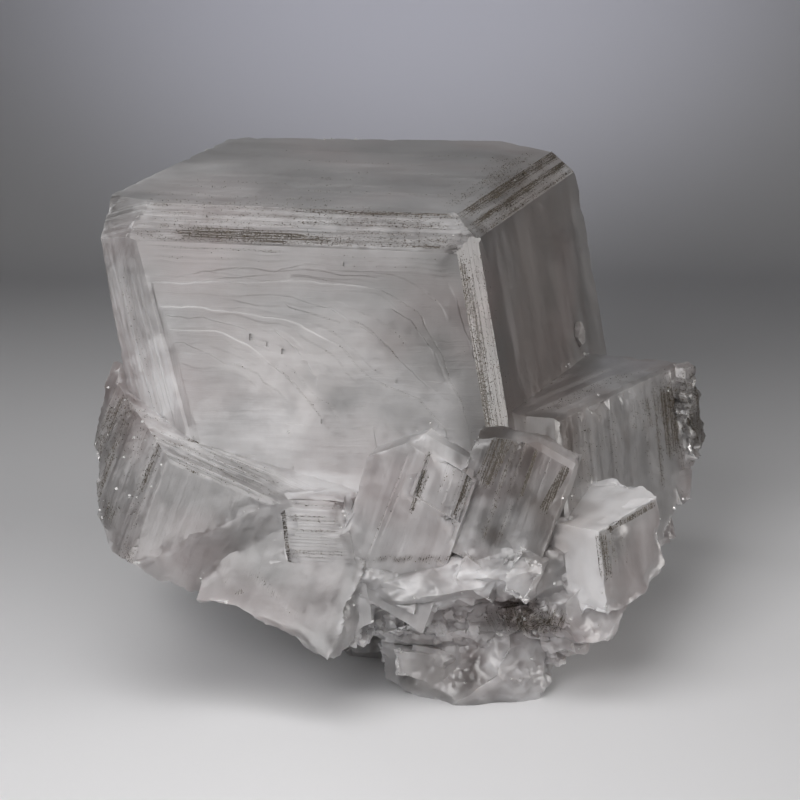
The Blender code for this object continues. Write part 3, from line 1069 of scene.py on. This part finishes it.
# %% [markdown]
# Crystals that grew into each other have no sharp seam between them, the broken facets at the lower
# left are rounded like thick glass, and the ragged underside there swells past the solid. Here each
# point is drawn towards its neighbours by its own weight, and not further than a limit. A smoothing
# modifier is simpler, but would also shrink what has to stay sharp.

# %% Soften
def softened(places, weight, rounds=30):
    """The places, each drawn by its weight towards the middle of its neighbours, again and again."""
    edges = np.concatenate([triangles[:, [0, 1]], triangles[:, [1, 2]], triangles[:, [2, 0]]])
    edges = edges[(weight[edges] > 0).any(1)]
    count = np.bincount(edges.ravel(), minlength=len(places))
    mine = weight > 0
    places = places.copy()
    for _ in range(rounds):
        for axis in range(3):
            total = np.bincount(edges[:, 0], places[edges[:, 1], axis], len(places))
            total += np.bincount(edges[:, 1], places[edges[:, 0], axis], len(places))
            places[mine, axis] += weight[mine] * (total[mine] / count[mine] - places[mine, axis])
    return places


SWELLS = [
    # where the surface bulges past the solid's: middle, reach and shift in mm
    ((-40, -49.5, 26), (6, 9, 5), (0, -0.4, -3.4)),  # ragged underside of the lower left crystal
]
SOFT_SPOTS = [
    # where crystals run into each other without a clear edge: middle and reach in mm
    ((-16, -41, 39), (9, 6, 3)),
    ((24, -36, 50), (5, 4, 4)),
]
SOFT_MOVE = 1.1  # how far softening may move a point, in mm
FLOOR_GAP = 0.05  # how high over the floor a point stays that doesn't stand on it, in mm

for middle, reach, shift in SWELLS:
    near = np.exp(-(((moved - middle) / reach) ** 2).sum(1))
    moved += np.outer(near, shift)

soft = np.zeros(len(points_mm))
soft[points_of(("tooth", "underside", "facet", "block", "smooth"))] = 0.6
soft *= np.clip((points_mm[:, 2] - 12) / 10, 0.1, 1)
for middle, reach in SOFT_SPOTS:
    soft = np.maximum(soft, 0.7 * nearness(points_mm, middle, reach))
drawn = softened(moved, soft) - moved
far = np.linalg.norm(drawn, axis=1)
moved += drawn * (SOFT_MOVE / (SOFT_MOVE + far))[:, None]

on_floor = points_mm[:, 2] < 0.01
moved[on_floor, 2] = 0
moved[~on_floor, 2] = np.maximum(moved[~on_floor, 2], FLOOR_GAP)
print("softened", int((soft > 0).sum()), "points")

# %% [markdown]
# The material needs to know where it is: how dusty a place is, how white with cracks, how strongly
# striated, and how far along and across the growth lines. These are kept as attributes on the
# corners of the faces, so that two faces can differ right up to the edge between them.

# %% What the surface is like
LOOKS = {
    # zone: whiteness, striation, dust all over, dullness, splinters
    "front": (0.42, 0.4, 0.05, 0.38, 0.1),
    "top": (0.45, 0.15, 0.05, 0.26, 0.06),
    "right": (0.22, 0.05, 0.05, 0.28, 0.05),
    "bevel": (0.55, 1.1, 0.3, 0.34, 0),
    "left": (0.5, 0.8, 0, 0.34, 0),
    "corner": (0.45, 1.2, 0.2, 0.3, 0),
    "back": (0.25, 0.5, 0.08, 0.3, 0.1),
    "shelf_top": (0.2, 0.4, 0.04, 0.2, 0.1),
    "shelf_side": (0.42, 0.6, 0.1, 0.26, 0.15),
    "shelf_front": (0.2, 0.1, 0.1, 0.5, 0.1),
    "shelf_edge": (0.3, 0.5, 0.1, 0.32, 0.2),
    "small_top": (1, 0.15, 0, 0.34, 0.05),
    "small_left": (1, 0.15, 0, 0.36, 0.05),
    "small_side": (0.35, 0.3, 0.06, 0.26, 0.05),
    "centre": (0.58, 0.4, 0.08, 0.34, 0.05),
    "centre_edge": (0.6, 0.3, 0, 0.32, 0.1),
    "blade": (0.4, 0.6, 0.15, 0.3, 0.05),
    "blade_edge": (0.5, 0.3, 0.05, 0.32, 0.1),
    "band": (0.5, 0.8, 0.1, 0.36, 0.05),
    "flank": (0.3, 1, 0.2, 0.32, 0.3),
    "smooth": (0.26, 0.5, 0, 0.36, 0.1),
    "facet": (0.42, 0.3, 0.02, 0.34, 0.5),
    # the underside is made nearly white as painted light, for light that comes through the crystal to this
    # downward face
    "underside": (0.9, 0.4, 0.02, 0.4, 0.3),
    "ribs": (0.45, 0.8, 0.04, 0.36, 0),
    "tooth": (0.65, 0.2, 0, 0.32, 0.2),
    "block": (0.55, 0.3, 0.03, 0.34, 0.15),
}
BROKEN_LOOK = (0.55, 0.1, 0, 0.24, 1)
PATCHES = [
    # middle and radii in mm, then what is added: whiteness, dust, brown; some patches are painted light and
    # some painted shade, as marked
    # the next two patches are painted shade in the recess of the foot: less white, and dark with dust colour
    ((20, -46, 16), (5, 5, 3.2), -0.3, 0.6, 0),  # painted shade in the recess of the foot
    ((25, -48, 17), (2.5, 3, 2.5), -0.1, 0.7, 0),
    ((-9, -44, 12), (4.5, 7, 4.5), 0.15, 0.2, 0),  # painted light and painted shade in the hollow left of the foot: paler, with a little dust
    ((3, -46, 14), (13, 4, 3), 0.05, 0.15, 0),  # rough grey band over the lowest block
    ((4, -44, 5.5), (9, 5, 5), 0.02, 0, 0.4),  # brownish glassy block
    ((14, -51, 25.5), (8, 4, 2.8), 0.4, 0, 0),  # white bruise
    ((21, -52.5, 25.5), (4, 3, 4), 0.35, 0, 0),
    ((13.5, -44, 10), (1.5, 3, 3), 0.3, 0, 0),
    ((52, 16, 38), (5, 9, 8), -0.25, 0.5, 0.1),  # far end of the shelf crystal
    ((-54.5, -45, 36), (1.2, 4, 1.8), -0.1, 0.7, 0),  # dark specks down the left edge
    ((-50.5, -52, 30.5), (1.2, 3, 1.5), 0, 0.6, 0),
    ((-52, -33, 51), (4, 5, 6), -0.2, 0.15, 0),
    ((14, -34, 55), (6, 12, 60), -0.6, 0.15, 0.15),  # hazy bevel down the right of the front face
    ((19, -5, 84), (5, 34, 4), -0.35, 0.2, 0.1),  # dusty crest
    ((-18, -39, 47), (16, 4, 7), 0.25, 0, 0.1),  # pale foot of the front face
    ((4, -33, 70), (9, 4, 15), -0.4, 0.03, 0.25),  # clearer right part of the front face
    ((-24, -33, 76), (22, 4, 4), -0.15, 0, 0.1),  # clearer strip under the upper bevel
    ((-22, -34, 61), (16, 4, 9), 0.25, 0, 0.35),  # pale heart of the front face
    ((-31, -37, 48), (10, 4, 7), 0.1, 0, 0),
    ((-42, 8, 85), (12, 20, 2), 0.2, 0, 0),  # pale left end of the top face
    ((15, 30, 83), (16, 26, 3), -0.12, 0.04, 0),
    ((24, 5, 62), (9, 55, 40), 0.04, 0, 1),  # brown inside the right face
    ((30, -43, 30), (10, 9, 9), 0, 0, 0.15),  # warm small crystal at the right
    ((0, -49.8, 28.8), (10, 2.5, 0.45), -0.3, 0.75, 0),  # dark cracks under the blades
    ((24, -36, 50), (7, 4, 5), -0.28, 0, 0.2),  # painted shade in the crevice at the near end of the shelf crystal, with some smoky brown
    ((-16, -47, 39.6), (8, 1.3, 1.2), -0.35, 0, 0),  # painted shade on the ledge over the ribs, which faces up into the light
    ((-16, -42.6, 40.2), (9, 2, 2), 0.45, 0, 0),
    ((-33, -51, 27), (7, 6, 7), -0.2, 0, 0),  # smokier left part of the broken facet
    # painted light over the shade in the hollow left of the foot
    ((-7, -40, 10), (5, 8, 5), 0.3, 0, 0),
    ((56, 24, 34), (4, 9, 14), -0.4, 0.4, 0),
    ((-45, -31, 54), (4, 5, 8), 0.45, 0, 0),  # painted light on the foot of the left bevel, which faces the light
]


def zone_looks(column):
    """That column of LOOKS for every triangle."""
    by_face = np.array([
        BROKEN_LOOK[column] if number < 0 else LOOKS[ZONES[number][0]][column] for number in face_numbers
    ])
    return by_face[sources]


def lay_of_faces():
    """How far along and across its growth lines every corner lies, in mm."""
    lay = np.zeros((len(triangles), 3, 3))
    for face in shape.faces:
        mine = sources == face.index
        origin, along, across, _ = face_axes(face, face_zone[face.index])
        here = points_mm[triangles[mine]] - origin
        lay[mine, :, 0] = here @ along
        lay[mine, :, 1] = here @ across
        lay[mine, :, 2] = face_numbers[face.index]
    steps = faces_in(("bevel",))
    lay[steps, :, :2] = bevel_lay(points_mm[triangles[steps]].reshape(-1, 3)).reshape(-1, 3, 2)
    lay[steps, :, 2] = 0
    return lay


def patches():
    """What the patches add at every point: whiteness, dust and brown, some of it painted light and painted
    shade.
    """
    added = np.zeros((len(points_mm), 3))
    uneven = 1 + 0.5 * noise_at(points_mm, 6, 21, 2)
    for middle, radii, *amounts in PATCHES:
        added += nearness(points_mm, middle, radii, uneven=uneven)[:, None] * amounts
    return added


whiteness_and_painted_light_shade, dust_and_painted_shade, brown_patches = patches().T
milk = zone_looks(0)[:, None] + (0.5 * line_whiteness_and_painted_light + whiteness_and_painted_light_shade)[triangles]
edge_chips = edge_wear * np.clip(chips * 3 + 0.15, 0, 1)
milk = np.clip(milk + (0.45 * edge_chips + 0.3 * chipped)[triangles], 0, 1)
dusty = np.clip(dust + dust_and_painted_shade[triangles] + 0.5 * zone_looks(2)[:, None], 0, 1)
striated, dull, shattered = (np.repeat(zone_looks(column)[:, None], 3, 1) for column in (1, 3, 4))
brown = np.clip(brown_patches[triangles], 0, 1)

surface = bpy.data.meshes.new("calcite")
surface.from_pydata([tuple(p) for p in moved * MM], [], [tuple(t) for t in triangles.tolist()])
for name, kind, field, values in (
    ("milk", "FLOAT", "value", milk),
    ("dust", "FLOAT", "value", dusty),
    ("striated", "FLOAT", "value", striated),
    ("brown", "FLOAT", "value", brown),
    ("shattered", "FLOAT", "value", shattered),
    ("dull", "FLOAT", "value", dull),
    ("lay", "FLOAT_VECTOR", "vector", lay_of_faces()),
):
    attribute = surface.attributes.new(name, kind, "CORNER")
    attribute.data.foreach_set(field, np.asarray(values, np.float32).ravel())
surface.validate()
surface.update()
calcite = add_object("calcite", surface)
surface.polygons.foreach_set("use_smooth", [True] * len(surface.polygons))


FACE_TURN = math.radians(16)  # an edge on a crystal's faces is sharp if it turns more than this
BREAK_TURN = math.radians(34)  # the same on broken calcite


def keep_sharp_edges(mesh):
    uneven = rough | (chipped > 0.03)
    uneven[bruised] = True
    bm = bmesh.new()
    bm.from_mesh(mesh)
    for edge in bm.edges:
        on_break = uneven[edge.verts[0].index] and uneven[edge.verts[1].index]
        edge.smooth = edge.calc_face_angle(0) < (BREAK_TURN if on_break else FACE_TURN)
    bm.to_mesh(mesh)
    bm.free()


keep_sharp_edges(surface)
print(len(surface.polygons), "triangles in the calcite")

# %% [markdown]
# Shaders are made of nodes. Writing out every node and link takes many lines that say little, so a
# small class holds one tree and has a short word for each kind of node that is used below. The
# shader editor would show the same nodes as boxes, but a script can be run again.

# %% Shader nodes
class Nodes:
    """Short ways to add nodes to the tree of a material or world; most give the new output."""

    def __init__(self, owner):
        owner.use_nodes = True
        self.tree = owner.node_tree

    def put(self, value, socket):
        """Links another node's output to the socket, or sets the socket to a plain value."""
        if isinstance(value, bpy.types.NodeSocket):
            self.tree.links.new(value, socket)
        else:
            socket.default_value = value

    def fill(self, inputs, values):
        """Links or sets the inputs with those names."""
        for name, value in values.items():
            self.put(value, inputs[name])

    def add(self, kind, inputs=None, **properties):
        """The new node, with those inputs and properties."""
        made = self.tree.nodes.new("ShaderNode" + kind)
        for name, value in properties.items():
            setattr(made, name, value)
        self.fill(made.inputs, inputs or {})
        return made

    def attribute(self, name, output="Fac"):
        return self.add("Attribute", attribute_name=name).outputs[output]

    def place(self):
        return self.add("TexCoord").outputs["Object"]

    def math(self, operation, *values, clamp=False):
        made = self.add("Math", operation=operation, use_clamp=clamp)
        for value, socket in zip(values, made.inputs):
            self.put(value, socket)
        return made.outputs[0]

    def plus(self, first, second, clamp=False):
        return self.math("ADD", first, second, clamp=clamp)

    def minus(self, first, second):
        return self.math("SUBTRACT", first, second)

    def times(self, first, second, clamp=False):
        return self.math("MULTIPLY", first, second, clamp=clamp)

    def times_plus(self, first, second, third, clamp=False):
        return self.math("MULTIPLY_ADD", first, second, third, clamp=clamp)

    def centred(self, value, amount):
        """The value, usually about 0.5, as a plus or minus of up to that amount."""
        return self.times(self.minus(value, 0.5), 2 * amount)

    def noise(self, vector, scale, detail=4, roughness=0.55, stretch=(1, 1, 1)):
        """Noise of about 0 to 1 on that vector, which is first stretched."""
        mapping = self.add("Mapping", {"Vector": vector, "Scale": stretch}, vector_type="TEXTURE")
        values = {"Vector": mapping.outputs[0], "Scale": scale, "Detail": detail, "Roughness": roughness}
        return self.add("TexNoise", values).outputs["Fac"]

    def ramp(self, value, low, high, start=0.0, end=1.0):
        """From start to end as the value goes from low to high, and no further."""
        values = {"Value": value, "From Min": low, "From Max": high, "To Min": start, "To Max": end}
        return self.add("MapRange", values, clamp=True).outputs[0]

    def mix(self, share, first, second):
        """The first colour, and more of the second the larger the share."""
        made = self.add("Mix", data_type="RGBA")
        for number, value in ((0, share), (6, first), (7, second)):
            self.put(value, made.inputs[number])
        return made.outputs[2]


def new_material(name):
    """A new material, its nodes, and the inputs of its shader."""
    material = bpy.data.materials.new(name)
    nodes = Nodes(material)
    return material, nodes, nodes.tree.nodes["Principled BSDF"].inputs


print("ready for materials")

# %% [markdown]
# Calcite is clear, but this piece is smoky and clouded by fine cracks. The body is a see-through
# shader with calcite's refraction and a grey absorption, mixed by its own transmission value with a
# pale scattering white where the crystal is milky. Striations are narrow noise stretched along the
# growth lines, and the dust is specks that line up with them. Layering separate glass and diffuse
# shaders would also work, but one shader is lighter to render and keeps its values where an export
# can read them.

# %% Calcite material
CLEAR_GREY = (0.30, 0.288, 0.285, 1)
MILK_WHITE = (0.67, 0.66, 0.665, 1)
ROSE_GREY = (0.45, 0.37, 0.365, 1)
SMOKY_BROWN = (0.30, 0.25, 0.225, 1)
PYRITE_BROWN = (0.075, 0.062, 0.048, 1)
ABSORPTION = (0.60, 0.57, 0.54, 1)
ABSORPTION_DENSITY = 22.0
CALCITE_IOR = 1.6
GLOW_DEPTH = 0.002  # how far light wanders under the milky parts of the surface, in metres
BUMP_DEPTH = 0.00025  # in metres
SMOOTHEST = 0.285  # below this the picture's noise filter leaves blotches on the surface


def dust_nodes(nodes, lay, dust, streaks, hair_lines):
    """How much of the surface the dust covers: specks, and hair lines between them."""
    specks = nodes.noise(lay, 5.2, 2, 0.8, (2.6, 1, 1))
    lined_up = nodes.plus(nodes.centred(streaks, 0.3), nodes.centred(hair_lines, 0.5))
    threshold = nodes.minus(0.79, nodes.times(nodes.plus(lined_up, 0.35), dust))
    spotted = nodes.times(nodes.times(nodes.minus(specks, threshold), 12, clamp=True), 0.75)
    dust_line = nodes.times(nodes.ramp(hair_lines, 0.34, 0.66, 0, 1.4), dust)
    return nodes.times_plus(dust_line, 0.42, spotted, clamp=True)


def veil_nodes(nodes, milk, striated, uneven, streaks, hair_lines):
    """How white the body is: its milk, made uneven, and streaky where it is striated."""
    veil = milk
    for more in uneven:
        veil = nodes.plus(veil, more)
    streaky = nodes.plus(nodes.centred(streaks, 0.36), nodes.centred(hair_lines, 0.16))
    return nodes.plus(veil, nodes.times(streaky, striated), clamp=True)


def body_nodes(nodes, place, veil, brown, dust_cover):
    """The body's colour: clear grey with rose parts, and milk, brown and dust over it."""
    rose = nodes.ramp(nodes.noise(place, 38, 2, 0.5, (1, 1.4, 0.8)), 0.48, 0.7)
    body = nodes.mix(rose, CLEAR_GREY, ROSE_GREY)
    body = nodes.mix(veil, body, MILK_WHITE)
    body = nodes.mix(nodes.times(brown, 0.6), body, SMOKY_BROWN)
    return nodes.mix(dust_cover, body, PYRITE_BROWN)


def relief_nodes(nodes, stripes, fine_grain, splintered):
    """Fine unevenness of the surface, too small for the mesh."""
    bumps = nodes.times_plus(stripes, 0.35, nodes.times(fine_grain, 0.3))
    bumps = nodes.times_plus(splintered, 1.2, bumps)
    return nodes.add("Bump", {"Strength": 0.5, "Distance": BUMP_DEPTH, "Height": bumps}).outputs[0]


def calcite_material():
    material, nodes, shader = new_material("calcite")
    place = nodes.place()
    lay = nodes.attribute("lay", "Vector")
    names = ("milk", "dust", "brown", "striated", "shattered", "dull")
    milk, dust, brown, striated, shattered, dull = (nodes.attribute(name) for name in names)

    clouds = nodes.noise(place, 60, 5, 0.65)
    fine_clouds = nodes.noise(place, 520, 2, 0.7)
    bands = nodes.noise(lay, 0.32, 2, 0.5, (9, 1, 1))
    streaks = nodes.noise(lay, 1.6, 2, 0.6, (45, 1, 1))
    hair_lines = nodes.noise(lay, 4.5, 1, 0.6, (60, 1, 1))
    splinters = nodes.noise(place, 190, 3, 0.7, (1.6, 0.8, 0.8))

    grain_share = nodes.times_plus(striated, 1.2, 0.2, clamp=True)
    grain = nodes.times(nodes.centred(fine_clouds, 0.26), grain_share)
    splintered = nodes.times(nodes.centred(splinters, 0.6), shattered)
    uneven = (nodes.centred(clouds, 0.42), grain, nodes.centred(bands, 0.2), splintered)
    veil = veil_nodes(nodes, milk, striated, uneven, streaks, hair_lines)
    dust_cover = dust_nodes(nodes, lay, dust, streaks, hair_lines)

    clearness = nodes.times(nodes.ramp(veil, 0.0, 1.0, 0.8, 0.15), nodes.minus(1.0, dust_cover))
    roughness = nodes.plus(dull, nodes.ramp(veil, 0.0, 1.0, -0.08, 0.2))
    roughness = nodes.math("MAXIMUM", roughness, SMOOTHEST)
    roughness = nodes.times_plus(dust_cover, 0.2, roughness, clamp=True)

    stripes = nodes.times(nodes.plus(streaks, hair_lines), striated)
    fine_grain = nodes.times(fine_clouds, grain_share)
    nodes.fill(shader, {
        "Base Color": body_nodes(nodes, place, veil, brown, dust_cover),
        "Transmission Weight": clearness,
        "Roughness": roughness,
        "IOR": CALCITE_IOR,
        "Subsurface Weight": 0.5,
        "Subsurface Radius": (1, 0.95, 0.9),
        "Subsurface Scale": GLOW_DEPTH,
        "Normal": relief_nodes(nodes, stripes, fine_grain, splintered),
    })
    absorb = nodes.add("VolumeAbsorption", {"Color": ABSORPTION, "Density": ABSORPTION_DENSITY})
    nodes.put(absorb.outputs[0], nodes.tree.nodes["Material Output"].inputs["Volume"])
    return material


surface.materials.append(calcite_material())
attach(calcite, "root")
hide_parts("calcite_cluster")
print("calcite dressed")

# %% [markdown]
# The pyrite itself: thousands of cubes, 0.05 to 0.14 mm wide, half sunk in the calcite and thickest
# on the dusty lines. Particles would scatter them too, but they vanish in an export, so each cube's
# corners are worked out here and all of them are joined in one mesh.

# %% Pyrite grains
GRAINS = 16000
GRAIN_SIZE = (0.05, 0.14)  # least and greatest, in mm


def places_on_calcite(count, liking, seed):
    """Random places on the calcite, as often as each triangle is liked, with the direction out."""
    pick = np.random.default_rng(seed)
    corner = moved[triangles]
    cross = np.cross(corner[:, 1] - corner[:, 0], corner[:, 2] - corner[:, 0])
    area = np.linalg.norm(cross, axis=1) / 2
    chance = area * liking
    chosen = pick.choice(len(triangles), count, p=chance / chance.sum())
    share = pick.dirichlet((1, 1, 1), count)
    places = (corner[chosen] * share[:, :, None]).sum(1)
    outward = cross[chosen] / (2 * area[chosen][:, None])
    return places, outward


def grain_mesh(name, count, sizes, edges, liking, seed):
    """Small bodies with those edges, in mm, half sunk in the calcite and turned at random."""
    pick = np.random.default_rng(seed + 1)
    places, outward = places_on_calcite(count, liking, seed)
    body = np.array([(x, y, z) for x in (-1, 1) for y in (-1, 1) for z in (-1, 1)]) / 2 @ edges
    sides = np.array([(0, 1, 3, 2), (4, 6, 7, 5), (0, 4, 5, 1), (2, 3, 7, 6), (0, 2, 6, 4), (1, 5, 7, 3)])
    verts = np.zeros((count, 8, 3))
    for i in range(count):
        turn = Euler(pick.uniform(0, math.tau, 3)).to_matrix()
        size = sizes[0] + (sizes[1] - sizes[0]) * pick.random() ** 2
        verts[i] = places[i] + outward[i] * size * 0.1 + body @ np.array(turn).T * size
    verts[:, :, 2] += np.maximum(0, -verts[:, :, 2].min(1))[:, None]  # none reaches into the floor
    faces = (np.arange(count)[:, None, None] * 8 + sides[None]).reshape(-1, 4)
    mesh = bpy.data.meshes.new(name)
    mesh.from_pydata((verts.reshape(-1, 3) * MM).tolist(), [], faces.tolist())
    mesh.update()
    return mesh


def pyrite_material():
    material, nodes, shader = new_material("pyrite")
    tarnish = nodes.noise(nodes.place(), 900, 3)
    brassy = nodes.ramp(tarnish, 0.3, 0.75)
    nodes.fill(shader, {
        "Base Color": nodes.mix(brassy, (0.03, 0.025, 0.02, 1), (0.16, 0.12, 0.07, 1)),
        "Roughness": nodes.ramp(tarnish, 0.3, 0.7, 0.6, 0.3),
        "Metallic": 0.7,
    })
    return material


def add_grains(mesh, material):
    obj = add_object(mesh.name, mesh)
    mesh.materials.append(material)
    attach(obj, "root")
    print(len(mesh.polygons) // 6, mesh.name)


dust_liking = np.clip(dusty.mean(1) - 0.12, 0, 1) ** 1.3
cubes = grain_mesh("pyrite_grains", GRAINS, GRAIN_SIZE, np.eye(3), dust_liking, 11)
add_grains(cubes, pyrite_material())

# %% [markdown]
# Loose crumbs of calcite cling to the striated flank, to the broken places and to chipped edges,
# where they glint white. Each is a small cleavage rhomb with calcite's own angles, which is the
# shape that the mineral breaks into; plain cubes would be simpler, but would be pyrite's shape.

# %% Calcite crumbs
CRUMBS = 900
CRUMB_SIZE = (0.1, 0.5)  # least and greatest, in mm


def crumb_material():
    material, nodes, shader = new_material("calcite_crumbs")
    cloudy = nodes.noise(nodes.place(), 1500, 2)
    nodes.fill(shader, {
        "Base Color": nodes.mix(nodes.ramp(cloudy, 0.3, 0.7), (0.55, 0.54, 0.53, 1), (0.85, 0.84, 0.83, 1)),
        "Roughness": nodes.ramp(cloudy, 0.3, 0.7, 0.2, 0.45),
        "Transmission Weight": 0.25,
        "IOR": CALCITE_IOR,
    })
    return material


crumb_liking = 1.0 * faces_in(("flank",)) + 0.35 * broken_faces + 0.004
crumb_liking += 2 * (edge_chips + chipped)[triangles].mean(1)
rhomb = np.array([list(edge) for edge in rhomb_edges()])
crumbs = grain_mesh("calcite_crumbs", CRUMBS, CRUMB_SIZE, rhomb, crumb_liking, 21)
add_grains(crumbs, crumb_material())

# %% [markdown]
# The studio is a pale sweep: a floor that curves up behind the specimen into a low wall, so that
# there is no line where they meet. A broad soft light hangs over the left front, with weaker ones at
# the front and the right, and one far behind at the left for the faces at the back. The wall gets a
# cool spot of its own, as in the photograph. The room is dim, and paler over the wall, where the top
# face mirrors it. A picture of a real studio could light the scene, but has to be loaded from disk.

# %% Studio
def sweep():
    """One sheet: the floor, a quarter circle, and the wall."""
    floor_near, floor_far, radius, height, half_width = -1.6, 0.27, 0.07, 0.085, 1.6
    profile = [(floor_near, 0)]
    for i in range(25):
        angle = math.pi / 2 * i / 24
        profile.append((floor_far + radius * math.sin(angle), radius * (1 - math.cos(angle))))
    profile.append((floor_far + radius, height))
    verts = [(x, y, z) for y, z in profile for x in (-half_width, half_width)]
    faces = [(2 * i, 2 * i + 1, 2 * i + 3, 2 * i + 2) for i in range(len(profile) - 1)]
    mesh = bpy.data.meshes.new("sweep")
    mesh.from_pydata(verts, [], faces)
    mesh.polygons.foreach_set("use_smooth", [True] * len(faces))
    material, nodes, shader = new_material("sweep")
    nodes.fill(shader, {"Base Color": (0.69, 0.69, 0.7, 1), "Roughness": 0.75})
    mesh.materials.append(material)
    return add_object("sweep", mesh)


def add_light(name, kind, power, colour, place, target, **properties):
    """A light of that kind at that place, turned to its target."""
    data = bpy.data.lights.new(name, kind)
    data.energy = power
    data.color = colour
    for key, value in properties.items():
        setattr(data, key, value)
    obj = add_object(name, data)
    obj.location = place
    obj.rotation_euler = (Vector(target) - Vector(place)).to_track_quat("-Z", "Y").to_euler()
    return obj


def soft_light(name, size, spread, *rest):
    """A rectangle of light; its spread in degrees says how widely it shines."""
    form = {"shape": "RECTANGLE", "size": size[0], "size_y": size[1], "spread": math.radians(spread)}
    return add_light(name, "AREA", *rest, **form)


def room():
    """The room round the studio: dim, and paler over the low wall behind the specimen."""
    world = bpy.data.worlds.new("room")
    nodes = Nodes(world)
    direction = nodes.add("SeparateXYZ", {"Vector": nodes.add("TexCoord").outputs["Generated"]})
    strength = nodes.ramp(direction.outputs["Y"], 0.5, 1, 0.04, 0.6)
    background = nodes.tree.nodes["Background"].inputs
    nodes.fill(background, {"Color": (0.5, 0.5, 0.51, 1), "Strength": strength})
    return world


NEUTRAL = (1, 0.99, 0.99)
sweep()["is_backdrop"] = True
soft_light("top_light", (0.32, 0.24), 120, 0.42, NEUTRAL, (-0.08, -0.2, 0.32), (-0.04, -0.15, 0))
soft_light("front_light", (0.25, 0.2), 50, 0.13, NEUTRAL, (-0.16, -0.48, 0.27), (0, -0.06, 0.03))
soft_light("side_light", (0.25, 0.15), 60, 0.11, (1, 0.98, 0.96), (0.36, -0.12, 0.15), (0.03, -0.04, 0.05))
back_light = soft_light("back_light", (0.3, 0.2), 50, 0.07, NEUTRAL, (-0.45, 0.6, 0.3), (0, 0.02, 0.04))
back_light.visible_camera = False
add_light(
    "wall_light", "SPOT", 1.7, (0.83, 0.84, 1), (0, 0.06, 0.2), (0, 0.34, 0.13),
    spot_size=math.radians(58), spot_blend=1, shadow_soft_size=0.03,
)
bpy.context.scene.world = room()
bpy.context.scene.view_settings.view_transform = "Standard"
print("studio lit")

# %% [markdown]
# Last, the box of everything that is now shown is measured and printed, as the solid's was at the
# start. Both are measured here and not taken from the frame's files, so that they are true of this very run.

# %% Finish
visual_box = [list(corner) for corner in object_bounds()]
print("box now, mm:", [[round(v / MM, 2) for v in corner] for corner in visual_box])
